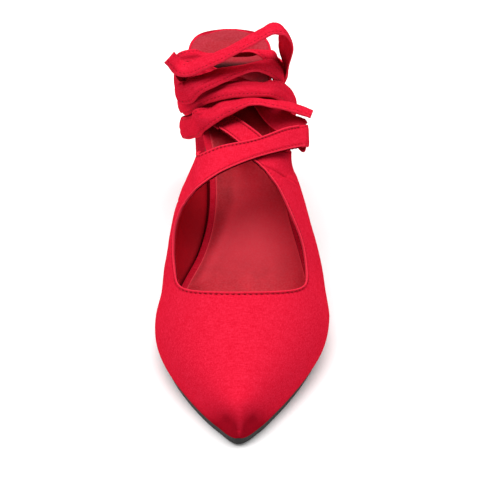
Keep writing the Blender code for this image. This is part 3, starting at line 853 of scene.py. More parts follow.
def seat_piece(piece: bpy.types.Object, slot: Slot, *nodes: str) -> bpy.types.Object:
    """Rides a piece on the shoe and hides the frame's nodes that it stands for.

    Args:
        piece: The piece.
        slot: Its material slot; not used.
        *nodes: The nodes that it stands for.

    Returns:
        The same piece.
    """
    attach(piece, BODY)
    if nodes:
        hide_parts(*nodes)
    triangles = sum(len(face.vertices) - 2 for face in piece.data.polygons)
    LOG.info("%s: %d triangles before modifiers", piece.name, triangles)
    return piece


def grid_faces(ids: Points, turned: bool = False) -> list[Face]:
    """Faces between the rows of a grid.

    Args:
        ids: Vertex numbers, row by row.
        turned: Whether the faces look the other way.

    Returns:
        The faces.
    """
    faces = []
    for before, after in zip(ids.tolist(), ids[1:].tolist()):
        for place in range(len(before) - 1):
            ring = (before[place], before[place + 1], after[place + 1], after[place])
            faces.append(ring[::-1] if turned else ring)
    return faces


def loft_faces(count: int, rings: int, capped: bool = True) -> list[Face]:
    """Faces through rings of equal length, their ends closed in strips.

    Args:
        count: Points to a ring.
        rings: How many rings there are.
        capped: Whether the ends are closed.

    Returns:
        The faces.
    """
    faces = []
    for low in range(rings - 1):
        for place in range(count):
            first, second = low * count + place, low * count + (place + 1) % count
            faces.append((first, second, second + count, first + count))
    if capped:
        for start in (0, (rings - 1) * count):
            for place in range(count // 2 - 1):
                left, right = start + place, start + count - 1 - place
                faces.append((left, left + 1, right - 1, right))
    return faces


def vertex_normals(points: Points, faces: Sequence[Face]) -> Points:
    """Directions out of a sheet at its vertices, from its faces' order.

    Args:
        points: The vertices.
        faces: The sheet's faces.

    Returns:
        A direction for each vertex.
    """
    found = np.zeros_like(points)
    for face in faces:
        corners = points[list(face)]
        normal = np.cross(corners[2] - corners[0], corners[-1] - corners[1])
        found[list(face)] += normal
    return unit(found)


@dataclass
class StitchRow:
    """Lock stitches along a path, each a spindle of thread sunk in the cloth, in millimetres."""

    pitch: float = 2.2
    share: float = 0.62
    radius: float = 0.24
    lift: float = 0.02
    sides: int = 6
    profile: tuple[tuple[float, float], ...] = ((-0.72, 0.75), (0.0, 1.0), (0.72, 0.75))

    def meshes(self, path: Points, normals: Points) -> tuple[list[Points], list[Face]]:
        """Vertices and faces of every stitch on a path.

        Args:
            path: Points on the cloth, in table millimetres.
            normals: The cloth's outward direction at each.

        Returns:
            The vertices and the faces.
        """
        run = along_path(path)
        count = max(int(run[-1] / self.pitch), 1)
        middles = (np.arange(count) + 0.5) * run[-1] / count
        half = self.pitch * self.share / 2
        points, faces = [], []
        for middle in middles:
            ends = [at_length(run, path, middle + sign * half) for sign in (-1, 1)]
            normal = unit(at_length(run, normals, middle))
            centre = at_length(run, path, middle) + normal * self.lift
            way = unit(ends[1] - ends[0])
            across = np.cross(normal, way)
            start = len(points)
            points.append(centre - way * half - normal * self.radius)
            for place, size in self.profile:
                for turn in np.arange(self.sides) * 2 * np.pi / self.sides:
                    around = np.cos(turn) * across + np.sin(turn) * normal
                    points.append(centre + way * half * place + around * self.radius * size)
            points.append(centre + way * half - normal * self.radius)
            faces += self.stitch_faces(start)
        return points, faces

    def stitch_faces(self, start: int) -> list[Face]:
        """The faces of one stitch.

        Args:
            start: The number of its first vertex.

        Returns:
            The faces.
        """
        sides, rings = self.sides, len(self.profile)
        last = start + 1 + sides * rings
        faces = []
        for place in range(sides):
            after = (place + 1) % sides
            faces.append((start, start + 1 + after, start + 1 + place))
            for ring in range(rings - 1):
                low = start + 1 + ring * sides
                faces.append((low + place, low + after, low + after + sides, low + place + sides))
            low = start + 1 + (rings - 1) * sides
            faces.append((last, low + place, low + after))
        return faces

    def build(
        self, name: str, last: Last, rows: Sequence[tuple[Points, Points]], thread: bpy.types.Material
    ) -> bpy.types.Object:
        """Joins the stitches of several paths into one piece.

        Args:
            name: The piece's name.
            last: The last that places them.
            rows: Each path with its normals.
            thread: The thread's material.

        Returns:
            The new piece.
        """
        points, faces = [], []
        for path, normals in rows:
            found, rings = self.meshes(path, normals)
            faces += [tuple(corner + len(points) for corner in ring) for ring in rings]
            points += found
        return seat_piece(add_mesh(name, last.placed(points), faces, [thread]), Slot.SATIN)


def inset_path(grid: Points, distance: float, side: float, first: bool) -> tuple[Points, Points]:
    """A path on a grid at a distance in from the edge along its first or last column.

    Args:
        grid: Rows of points across the piece.
        distance: How far in the path lies.
        side: 1 or -1, the sign that turns the grid's normals outwards.
        first: Whether the edge is the first column.

    Returns:
        The path and the outward normals along it.
    """
    normals = unit(np.cross(np.gradient(grid, axis=0), np.gradient(grid, axis=1)) * side)
    path, out = [], []
    for row, normal in zip(grid, normals):
        line, facing = (row, normal) if first else (row[::-1], normal[::-1])
        run = along_path(line)
        path.append(at_length(run, line, distance))
        out.append(at_length(run, facing, distance))
    return np.array(path), unit(np.array(out))


@dataclass
class Upper:
    """Pointed vamp with two wings that run on as crossing straps: satin outside, lining inside."""

    last: Last
    finishes: Finishes
    vamp_rows: int = 44
    vamp_packing: float = 1.45
    hem_rows: tuple[float, ...] = (3.2, 2.5, 1.9, 1.45, 1.1, 0.75, 0.4, 0.0)
    side_columns: int = 40
    side_packing: float = 1.55
    throat_columns: int = 140
    wing_steps: int = 30
    lift_of_flare: float = 0.42
    throat_middle: float = 66.0
    throat_depth: float = 11.5
    throat_curve: float = 2.0
    corner_rise: float = 2.0
    corner_sharpness: float = 8.0
    vamp_side_end: float = 79.0
    corner_turn: float = 0.55
    ridge_lean: float = 0.3
    bow_near_topline: float = 0.6
    stitch_inset: float = 1.3
    stitch_first_row: int = 4
    stitch_groove: float = 0.5
    groove_width: float = 0.5
    pucker: float = 0.38
    hem_roll: float = 0.4
    hem_width: float = 0.75
    edge_rounding: float = 0.5
    corner_radius: float = 4.2
    corner_reach: float = 13.0
    corner_fade: float = 8.0
    corner_step: float = 0.4
    tip_height: float = 0.35
    # Painted shade on the toe's nose: the height it reaches up to, its reach back from the tip, its depth
    # and its most
    nose_shade_top: float = 17.0
    nose_shade_reach: float = 11.0
    nose_shade_depth: float = 2.3
    nose_shade_most: float = 0.9
    # The painted shade spares the toe's ridge: its x, its width and how much of the shade is kept off it
    ridge_x: float = 0.6
    ridge_width: float = 1.6
    ridge_share: float = 0.6
    # Painted shade in the hollows beside the toe's ridge
    hollow_shade: float = 0.4
    # Painted shade along the stitches, its strength and width, then the width of a painted highlight along
    # each folded edge
    seam_shade: float = 0.22
    seam_width: float = 0.45
    light_width: float = 0.5
    throat_stitch: StitchRow = field(default_factory=lambda: StitchRow(pitch=2.5, radius=0.3))
    strap_stitch: StitchRow = field(default_factory=lambda: StitchRow(pitch=1.9, radius=0.26))
    sections: tuple[SectionRow, ...] = (
        SectionRow(0.004, 0.10, 0.01, 0.50),
        SectionRow(0.015, 0.24, 0.03, 0.52),
        SectionRow(0.040, 0.38, 0.06, 0.56),
        SectionRow(0.080, 0.48, 0.11, 0.60),
        SectionRow(0.140, 0.61, 0.20, 0.62),
        SectionRow(0.200, 0.74, 0.26, 0.63),
        SectionRow(0.260, 0.88, 0.29, 0.64),
        SectionRow(0.340, 1.05, 0.29, 0.66),
        SectionRow(0.420, 1.20, 0.29, 0.68),
    )
    medial_wing: tuple[WingRow, ...] = (
        WingRow(-28.6, 90.0, 29.0, 93.0, 7.5),
        WingRow(-29.6, 100.0, 33.0, 109.0, 9.5),
        WingRow(-29.4, 108.5, 38.0, 126.0, 12.0),
        WingRow(-27.4, 114.5, 43.5, 145.0, 12.5),
        WingRow(-24.3, 118.0, 48.0, 163.0, 8.0),
    )
    lateral_wing: tuple[WingRow, ...] = (
        WingRow(30.2, 93.0, 29.5, 95.0, 8.0),
        WingRow(28.6, 104.5, 35.0, 112.0, 9.0),
        WingRow(24.0, 115.0, 43.0, 129.0, 10.5),
        WingRow(19.2, 124.5, 49.5, 147.0, 11.5),
        WingRow(15.8, 129.0, 53.0, 162.0, 10.0),
    )
    medial_strap: tuple[StrapRow, ...] = (
        StrapRow(-21.6, 119.6, 51.0, -18.8, 158.0, 52.0, 3.0),
        StrapRow(-18.2, 121.4, 53.8, -18.4, 144.0, 58.0, 1.5),
        StrapRow(-8.0, 127.8, 58.0, -8.2, 143.3, 63.0, 0.6),
        StrapRow(6.6, 137.1, 59.7, 8.0, 149.1, 63.7, 0.0),
        StrapRow(22.0, 147.3, 58.7, 21.5, 158.2, 64.3, 0.0),
        StrapRow(31.0, 153.2, 57.4, 28.4, 163.0, 63.2, 0.0),
    )
    lateral_strap: tuple[StrapRow, ...] = (
        StrapRow(12.6, 133.0, 55.3, 25.0, 158.0, 51.5, 4.0),
        StrapRow(9.4, 136.2, 57.2, 21.5, 152.5, 56.4, 1.2),
        StrapRow(6.0, 139.5, 58.5, 15.6, 148.8, 59.4, 0.4),
        StrapRow(1.0, 151.5, 59.2, 10.2, 158.6, 60.6, 0.0),
        StrapRow(-4.6, 163.0, 58.3, 4.2, 169.6, 60.0, 0.0),
        StrapRow(-9.6, 172.6, 56.8, -1.0, 179.2, 59.0, 0.0),
    )
    creases: tuple[Crease, ...] = (
        Crease(((11.0, 136.0, 57.2), (20.5, 136.8, 50.6), (28.4, 140.4, 42.6)), -1.1, 0.6),
        Crease(((13.0, 134.6, 55.2), (21.3, 135.3, 49.4), (27.6, 138.6, 43.0)), 0.5, 1.3),
        Crease(((-24.6, 117.4, 47.4), (-28.2, 126.5, 42.0), (-27.0, 140.0, 38.0)), -0.6, 0.5),
        Crease(((-3.3, 3.6, 8.4), (-5.0, 5.8, 10.2)), -1.0, 1.7),
        Crease(((4.6, 3.8, 8.4), (6.2, 6.0, 10.2)), -1.0, 1.7),
        Crease(((-10.0, 36.0, 23.0), (12.0, 40.0, 23.5)), -0.12, 3.5),
        Crease(((-18.0, 58.0, 25.5), (-6.0, 55.0, 29.5)), -0.12, 3.0),
    )

    def __post_init__(self) -> None:
        """Works out the outline of the bottom edge and the curve through the sections."""
        self.edge = self.last.outline(self.last.wall + self.last.upper_clearance)
        self.curve = spline(np.array(self.sections), self.last.outline_steps)

    @property
    def strap_start(self) -> int:
        """The row of a wing's grid at which its strap starts."""
        return (len(self.medial_wing) + 1) * self.wing_steps

    def section_values(self, station: float) -> list[float]:
        """The section's values at a station.

        Args:
            station: Distance behind the toe tip.

        Returns:
            Its crown, flare and shoulder.
        """
        ends = self.sections[0].station, self.sections[-1].station
        place = np.clip(station / self.last.length, *ends)
        return [float(np.interp(place, self.curve[:, 0], self.curve[:, column])) for column in (1, 2, 3)]

    def half_section(self, station: float, side: Side, turn: float) -> Points:
        """A point from the bottom edge, turn 0, up to the ridge, turn 1, on one side.

        Args:
            station: Distance behind the toe tip.
            side: The side of the shoe.
            turn: Share of the way up.

        Returns:
            The table point.
        """
        medial, lateral = self.last.edge_x(self.edge, station)
        foot = medial if side is Side.MEDIAL else lateral
        crown, flare, shoulder = self.section_values(station)
        low = self.last.bottom_edge(station)
        high = low + crown * self.last.instep_height
        ridge = (medial + lateral) / 2 * self.ridge_lean
        start = np.array([foot, low])
        pull = side.value * flare * self.last.half_ball
        first = np.array([foot + pull, low + self.lift_of_flare * (high - low)])
        second = np.array([ridge + shoulder * (foot - ridge), high])
        x, z = bezier(start, first, second, np.array([ridge, high]), turn)
        return np.array([x, station, z])

    def bottom_point(self, station: float, side: Side) -> Points:
        """The bottom edge's point at a station on one side."""
        x = self.last.edge_x(self.edge, station)[0 if side is Side.MEDIAL else 1]
        return np.array([x, station, self.last.bottom_edge(station)])

    def throat_end(self, side_share: float) -> float:
        """Where a vamp column ends: the throat's middle, and further back towards its corners."""
        corner = self.corner_rise * side_share**self.corner_sharpness
        return self.throat_middle + self.throat_depth * side_share**self.throat_curve + corner

    def side_shares(self) -> Points:
        """Shares of the way up a side, closer together towards the topline."""
        return 1 - (1 - np.linspace(0.0, 1.0, self.side_columns)) ** self.side_packing

    def vamp_columns(self) -> list[tuple[Side, float, float]]:
        """The columns of the vamp's grid, medial bottom edge to lateral.

        Returns:
            Side, turn and end station of each.
        """
        half = [(turn * self.corner_turn, self.vamp_side_end) for turn in self.side_shares()]
        half[-1] = (self.corner_turn, self.throat_end(1.0))
        for turn in np.linspace(self.corner_turn, 1.0, self.throat_columns // 2 + 1)[1:]:
            half.append((turn, self.throat_end((1 - turn) / (1 - self.corner_turn))))
        return [(Side.MEDIAL, *row) for row in half] + [(Side.LATERAL, *row) for row in half[-2::-1]]

    def vamp_grid(self) -> Points:
        """The vamp over the forefoot.

        Returns:
            Rows of points, from the row behind the tip to the throat.
        """
        tip = self.edge[0][0, 0]
        hem = 1 - np.array(self.hem_rows) / self.throat_middle
        main = np.linspace(0.0, 1.0, self.vamp_rows + 1)[1:] ** self.vamp_packing
        shares = np.concatenate([main[:-1] * hem[0], hem])
        columns = self.vamp_columns()
        return np.array(
            [
                [self.half_section(tip + (end - tip) * share, side, turn) for side, turn, end in columns]
                for share in shares
            ]
        )

    def cross_line(self, row: WingRow | StrapRow, side: Side) -> Points:
        """A wing's or strap's cross-line, bowed outwards as the foot is.

        Args:
            row: The cross-line's values.
            side: The side of the shoe that it starts from.

        Returns:
            Its points, bottom edge first.
        """
        if isinstance(row, WingRow):
            rear = self.bottom_point(row.rear_s, side)
        else:
            rear = np.array([row.rear_x, row.rear_s, row.rear_z])
        front = np.array([row.front_x, row.front_s, row.front_z])
        bow = np.array([side.value * row.bulge, 0.0, 0.0])
        first = rear + (front - rear) / 3 + bow
        second = rear + (front - rear) * 2 / 3 + bow * self.bow_near_topline
        return bezier(rear, first, second, front, self.side_shares())

    def wing_grid(self, first_line: Points, side: Side) -> Points:
        """A wing and its strap.

        Args:
            first_line: The vamp's last line on that side, which they run on from.
            side: The side of the shoe.

        Returns:
            Rows of points, from the vamp's side to the strap's end.
        """
        medial = side is Side.MEDIAL
        wing = self.medial_wing if medial else self.lateral_wing
        strap = self.medial_strap if medial else self.lateral_strap
        lines = [first_line] + [self.cross_line(row, side) for row in wing + strap]
        flat = spline([line.ravel() for line in lines], self.wing_steps)
        grid = flat.reshape(len(flat), -1, 3)
        for line in grid[: len(wing) * self.wing_steps + 1]:
            shift = self.bottom_point(line[0, 1], side) - line[0]
            line += shift * np.linspace(1.0, 0.0, len(line))[:, None]
        return grid

    def hem(self, points: Points, edges: Sequence[Points], pitch: float) -> Points:
        """How far the satin stands out near its folded edges: a roll, then the stitched groove.

        Args:
            points: The vertices.
            edges: The folded edges' paths.
            pitch: The stitches' spacing.

        Returns:
            The offset of each vertex.
        """
        offset = np.zeros(len(points))
        for edge in edges:
            distance, run = near_path(points, edge)
            pucker = 1 - self.pucker + self.pucker * np.cos(2 * np.pi * run / pitch)
            offset += self.hem_roll * bell(distance - self.stitch_inset / 2, self.hem_width)
            offset -= self.stitch_groove * pucker * bell(distance - self.stitch_inset, self.groove_width)
        return offset

    def build(self) -> list[bpy.types.Object]:
        """Makes the satin wall and its stitches.

        Returns:
            The pieces.
        """
        vamp = self.vamp_grid()
        side = self.side_columns
        medial = self.wing_grid(vamp[-1, :side], Side.MEDIAL)
        lateral = self.wing_grid(vamp[-1, : -side - 1 : -1], Side.LATERAL)
        tip = self.edge[0][0]
        pole = np.array([[tip[1], tip[0], self.last.bottom_edge(tip[0]) + self.tip_height]])
        points = np.vstack([pole, *(grid.reshape(-1, 3) for grid in (vamp, medial[1:], lateral[1:]))])
        rows, columns = vamp.shape[:2]
        vamp_ids = 1 + np.arange(rows * columns).reshape(rows, columns)
        medial_ids = vamp_ids[-1, -1] + 1 + np.arange((len(medial) - 1) * side).reshape(-1, side)
        lateral_ids = medial_ids[-1, -1] + 1 + np.arange((len(lateral) - 1) * side).reshape(-1, side)
        ids = SheetIds(
            vamp_ids,
            np.vstack([vamp_ids[-1, :side], medial_ids]),
            np.vstack([vamp_ids[-1, : -side - 1 : -1], lateral_ids]),
        )
        faces = [(0, second, first) for first, second in zip(vamp_ids[0].tolist(), vamp_ids[0, 1:].tolist())]
        for sheet in ids:
            faces += grid_faces(sheet, turned=sheet is not ids.lateral)
        points = self.shaped(points, faces, ids)
        satin, lining = self.finishes.satin, self.finishes.lining
        upper = add_mesh("satin_upper", self.last.placed(points), faces, [satin, lining])
        self.tone_edges(upper, points, ids)
        thicken(upper, self.last.wall, inner=1)
        soften_edges(upper, self.edge_rounding)
        seat_piece(upper, Slot.SATIN, "upper")
        return [upper, *self.stitches(points, ids)]

    def throat_line(self, points: Points, ids: SheetIds) -> Points:
        """The throat's edge between its two corners."""
        return points[ids.vamp[-1, self.side_columns - 1 : 1 - self.side_columns]]

    def folded_edges(self, points: Points, ids: SheetIds) -> list[tuple[Points, list[Points], float]]:
        """The folded edges of the vamp and of each wing.

        Args:
            points: The vertices.
            ids: Their numbers.

        Returns:
            For each of the three its vertex numbers, its folded edges and their stitches' spacing.
        """
        found = [(ids.vamp.ravel(), [self.throat_line(points, ids)], self.throat_stitch.pitch)]
        for wing in (ids.medial, ids.lateral):
            outer = points[wing[self.strap_start + self.wing_steps // 2 :, 0]]
            found.append((wing[1:].ravel(), [points[wing[:, -1]], outer], self.strap_stitch.pitch))
        return found

    def tone_edges(self, upper: bpy.types.Object, points: Points, ids: SheetIds) -> None:
        """Marks painted shade at the toe and by the seams, and a painted highlight along each folded edge.

        Args:
            upper: The satin wall.
            points: Its shaped vertices.
            ids: Their numbers.
        """
        dark, light = self.painted_shade(points), np.zeros(len(points))
        for flat, edges, _pitch in self.folded_edges(points, ids):
            for edge in edges:
                distance, _run = near_path(points[flat], edge)
                # A painted highlight along the folded edge, and painted shade along its stitches
                light[flat] += bell(distance, self.light_width)
                dark[flat] += self.seam_shade * bell(distance - self.stitch_inset, self.seam_width)
        add_tone(upper, Tone.PAINTED_SHADE, dark)
        add_tone(upper, Tone.EDGE, light)

    def painted_shade(self, points: Points) -> Points:
        """How much painted shade the satin gets: the toe's nose, and beside it two hollows.

        Args:
            points: The shaped vertices.

        Returns:
            The share of dark at each.
        """
        # Painted shade, low on the toe's nose and in the hollows of its creases
        low = np.clip((self.nose_shade_top - points[:, 2]) / self.nose_shade_top, 0.0, 1.0)
        ridge = 1 - self.ridge_share * bell(points[:, 0] - self.ridge_x, self.ridge_width)
        found = self.nose_shade_depth * low * bell(points[:, 1], self.nose_shade_reach) * ridge
        for crease in self.creases:
            if crease.path[0][1] < self.nose_shade_reach:
                distance, _run = near_path(points, np.array(crease.path))
                found += self.hollow_shade * bell(distance, crease.width)
        return np.minimum(found, self.nose_shade_most)

    def rounded_corners(self, points: Points, ids: SheetIds) -> Points:
        """The vertices with the throat's two corners rounded.

        Args:
            points: The vertices with sharp corners.
            ids: Their numbers.

        Returns:
            The moved vertices.
        """
        throat = self.throat_line(points, ids)
        edge = np.vstack([points[ids.medial[:0:-1, -1]], throat, points[ids.lateral[1:, -1]]])
        run = along_path(edge)
        even = np.arange(0.0, run[-1], self.corner_step)
        line = at_length(run, edge, even)
        weights = bell(even[:, None] - even[None, :], self.corner_radius * math.sqrt(2))
        smooth = weights @ line / weights.sum(1, keepdims=True)
        first = run[len(ids.medial) - 1]
        second = first + along_path(throat)[-1]
        near = bell(even - first, self.corner_reach) + bell(even - second, self.corner_reach)
        shift = (smooth - line) * np.minimum(near, 1.0)[:, None]
        distance, place = near_path(points, edge)
        return points + at_length(even, shift, place) * bell(distance, self.corner_fade)[:, None]

    def shaped(self, points: Points, faces: Sequence[Face], ids: SheetIds) -> Points:
        """The vertices with their hems and creases.

        Args:
            points: The smooth vertices.
            faces: The sheet's faces.
            ids: The vertices' numbers.

        Returns:
            The shaped vertices.
        """
        points = self.rounded_corners(points, ids)
        out = vertex_normals(points, faces)
        out *= np.sign(out[ids.vamp[-1, ids.vamp.shape[1] // 2], 2])
        offset = np.zeros(len(points))
        for flat, edges, pitch in self.folded_edges(points, ids):
            offset[flat] = self.hem(points[flat], edges, pitch)
        for crease in self.creases:
            offset += crease.rise(points)
        return points + out * offset[:, None]

    def stitches(self, points: Points, ids: SheetIds) -> list[bpy.types.Object]:
        """Stitches along the throat, the toplines and both edges of the straps.

        Args:
            points: The shaped vertices.
            ids: Their numbers.

        Returns:
            The stitched pieces.
        """
        side, inset = self.side_columns, self.stitch_inset
        throat = points[ids.vamp[:, side:-side]].swapaxes(0, 1)
        throat_rows = [inset_path(throat, inset, -1.0, first=False)]
        strap_rows = []
        for sheet, turn in ((ids.medial, 1.0), (ids.lateral, -1.0)):
            grid = points[sheet]
            strap_rows.append(inset_path(grid[self.stitch_first_row :], inset, turn, first=False))
            strap_rows.append(inset_path(grid[self.strap_start :], inset, turn, first=True))
        thread = self.finishes.thread
        return [
            self.throat_stitch.build("throat_stitches", self.last, throat_rows, thread),
            self.strap_stitch.build("strap_stitches", self.last, strap_rows, thread),
        ]


@dataclass
class Footbed:
    """The insole board wrapped in satin, and the sock glued on it."""

    last: Last
    finishes: Finishes
    rows: int = 110
    columns: int = 26
    tip_relief: float = 3.0
    back_relief: float = 0.15
    # Painted light on the sock: a lit area round the instep's middle, and a painted highlight streak along a
    # crease
    painted_light_path: tuple[tuple[float, float, float], ...] = (
        (-17.8, 107.4, 12.2),
        (-7.8, 129.3, 23.1),
        (-4.1, 140.0, 29.2),
    )
    painted_streak_width: float = 2.2
    painted_streak_share: float = 0.35
    painted_light_middle: float = 131.0
    painted_light_length: float = 21.0
    painted_light_share: float = 0.75
    # The painted light starts this far medial of the painted streak and is full this much further on
    painted_light_lead: float = 1.5
    painted_light_fade: float = 4.0
    painted_light_least: float = 0.2
    cut_edge: float = 0.5
    cut_share: float = 0.8
    wrap_rounding: float = 1.0
    border: float = 2.8
    heel_border: float = 1.3
    border_change: tuple[float, float] = (188.0, 212.0)
    sock_start: float = 14.0
    sock_thickness: float = 0.5
    sock_rounding: float = 0.2
    band_width: float = 5.5
    band_fade: float = 0.8
    band_start: float = 186.0
    seat_fade: float = 12.0
    band_groove: float = 0.22
    groove_width: float = 0.7
    margin_out: float = 0.3
    margin_in: float = 5.0
    margin_end: float = 161.0
    margin_share: float = 0.4
    narrowest: float = 1e-6
    sock_creases: tuple[Crease, ...] = (
        Crease(((-17.8, 107.4, 12.2), (-7.8, 129.3, 23.1), (-4.1, 139.9, 29.2)), 0.35, 3.0),
        Crease(((-21.0, 104.0, 11.0), (-11.5, 125.0, 21.0)), -0.25, 2.5),
    )

    def top(self, outline: Outline, station: float, x: float) -> float:
        """Height of the footbed's top.

        Args:
            outline: The board's outline.
            station: Distance behind the toe tip.
            x: Distance to the lateral side of the toe line.

        Returns:
            The height, in millimetres.
        """
        medial, lateral = self.last.edge_x(outline, station)
        across = (x - medial) / max(lateral - medial, self.narrowest)
        return self.last.footbed_height(station) + self.last.rim_rise(station, across)

    def build(self) -> list[bpy.types.Object]:
        """Makes the wrapped board, the sock and the upper's turned-in margin below them."""
        return [self.wrap(), self.sock(), self.margin()]

    def margin(self) -> bpy.types.Object:
        """The lining turned in under the board, seen down the slit beside it.

        Returns:
            The piece.
        """
        last = self.last
        wide, narrow = last.outline(last.wall + self.margin_out), last.outline(-self.margin_in)
        depth = last.gap * self.margin_share
        points = []
        for station in end_packed(self.sock_start, self.margin_end, self.rows):
            height = last.bottom_edge(station) - depth
            outer, inner = last.edge_x(wide, station), last.edge_x(narrow, station)
            points += [(x, station, height) for x in (outer[0], inner[0], inner[1], outer[1])]
        ids = np.arange(len(points)).reshape(self.rows, -1)
        faces = []
        for pair in zip(grid_faces(ids[:, :2]), grid_faces(ids[:, 2:])):
            faces += pair
        piece = add_mesh("lasted_margin", last.placed(points), faces, [self.finishes.lining])
        thicken(piece, depth)
        return seat_piece(piece, Slot.SATIN)

    def wrap(self) -> bpy.types.Object:
        """The board in its satin wrap.

        Returns:
            The piece.
        """
        outline = self.last.outline(0.0)
        first, end = outline[0][0, 0], outline[0][-1, 0]
        rings = []
        for station in end_packed(first + self.tip_relief, end - self.back_relief, self.rows):
            line = np.linspace(*self.last.edge_x(outline, station), self.columns)
            low = self.last.bottom_edge(station)
            rings += [(x, station, self.top(outline, station, x)) for x in line]
            rings += [(x, station, low) for x in line[::-1]]
        faces = loft_faces(2 * self.columns, self.rows)
        piece = add_mesh("footbed_wrap", self.last.placed(rings), faces, [self.finishes.satin])
        soften_edges(piece, self.wrap_rounding, segments=3)
        return seat_piece(piece, Slot.SATIN, "insole")

    def painted_light(self, points: Points) -> Points:
        """How much painted light the sock gets: a lit area, and a painted highlight streak along its edge.

        Args:
            points: The sock's vertices, in table millimetres.

        Returns:
            The share of the lighter colour at each.
        """
        path = np.array(self.painted_light_path)
        beside = points[:, 0] - np.interp(points[:, 1], path[:, 1], path[:, 0])
        side = np.clip((beside + self.painted_light_lead) / self.painted_light_fade, self.painted_light_least, 1.0)
        hollow = bell(points[:, 1] - self.painted_light_middle, self.painted_light_length)
        away, _run = near_path(points, path)
        streak = self.painted_streak_share * bell(away, self.painted_streak_width)
        return np.minimum(self.painted_light_share * side * hollow + streak, 1.0)

    def sock_grid(self) -> Points:
        """The sock's smooth top face, inset from the wrap's edge.

        Returns:
            Rows of points across it, front to back.
        """
        board = self.last.outline(0.0)
        wide, narrow = self.last.outline(-self.heel_border), self.last.outline(-self.border)
        grid = []
        for station in end_packed(self.sock_start, wide[0][-1, 0] - self.back_relief, self.rows):
            share = np.interp(station, self.border_change, (0.0, 1.0))
            inner = np.array(self.last.edge_x(narrow, min(station, narrow[0][-1, 0])))
            sides = inner * (1 - share) + np.array(self.last.edge_x(wide, station)) * share
            line = end_packed(*sides, self.columns)
            grid.append([(x, station, self.top(board, station, x) + self.sock_thickness) for x in line])
        return np.array(grid)

    def sock(self) -> bpy.types.Object:
        """The plated sock, with a pressed line round the heel seat.

        Returns:
            The piece.
        """
        grid = self.sock_grid()
        rim = np.vstack([grid[:, 0], grid[-1], grid[::-1, -1]])
        points = grid.reshape(-1, 3)
        distance, _run = near_path(points, rim)
        seat = np.clip((points[:, 1] - self.band_start) / self.seat_fade, 0.0, 1.0)
        points[:, 2] -= self.band_groove * seat * bell(distance - self.band_width, self.groove_width)
        for crease in self.sock_creases:
            points[:, 2] += crease.rise(points)
        faces = grid_faces(np.arange(len(points)).reshape(grid.shape[:2]))
        piece = add_mesh("sock", self.last.placed(points), faces, [self.finishes.sock])
        # Painted light on the instep and its streak, and a lighter line along the cut edge
        cut = self.cut_share * bell(distance, self.cut_edge)
        add_tone(piece, Tone.INSTEP, self.painted_light(points) + cut)
        # Painted shade on the heel seat
        add_tone(piece, Tone.SEAT, seat)
        band = np.clip((self.band_width - distance) / self.band_fade, 0.0, 1.0)
        add_tone(piece, Tone.BAND, seat * band)
        thicken(piece, self.sock_thickness)
        soften_edges(piece, self.sock_rounding)
        return seat_piece(piece, Slot.SOCK)


@dataclass
class Outsole:
    """The thin rubber sole from the toe to the heel breast."""

    last: Last
    finishes: Finishes
    rows: int = 90
    columns: int = 9
    sole_inset: float = 0.4
    waist_sole: float = 2.0
    thinning: tuple[float, float] = (100.0, 140.0)
    drawing_in: tuple[float, float] = (156.0, 180.0)
    waist_margin: float = -0.8
    tip_relief: float = 0.25
    chamfer: float = 0.5
    chamfer_most: float = 0.25
    breast: float = 190.0
    rounding: float = 0.5

    def build(self) -> list[bpy.types.Object]:
        """Makes the sole.

        Returns:
            The piece, in a list.
        """
        last = self.last
        margin = last.wall + last.upper_clearance - self.sole_inset
        wide, narrow = last.outline(margin), last.outline(self.waist_margin)
        tip = wide[0][0, 0] + self.tip_relief
        end = self.breast - last.gap
        rings = []
        for station in end_packed(tip, 2 * end - tip, 2 * self.rows)[: self.rows]:
            share = np.interp(station, self.drawing_in, (0.0, 1.0))
            wide_x = np.array(last.edge_x(wide, station))
            sides = wide_x * (1 - share) + np.array(last.edge_x(narrow, station)) * share
            high = last.bottom_edge(station) - last.gap
            low = high - np.interp(station, self.thinning, (last.forefoot_sole, self.waist_sole))
            cut = min(self.chamfer, (sides[1] - sides[0]) * self.chamfer_most)
            rings += [(x, station, high) for x in np.linspace(*sides, self.columns)]
            rings += [(x, station, low) for x in np.linspace(sides[1] - cut, sides[0] + cut, self.columns)]
        faces = loft_faces(2 * self.columns, self.rows)
        piece = add_mesh("rubber_outsole", last.placed(rings), faces, [self.finishes.sole])
        soften_edges(piece, self.rounding)
        return [seat_piece(piece, Slot.SOLE, "outsole")]


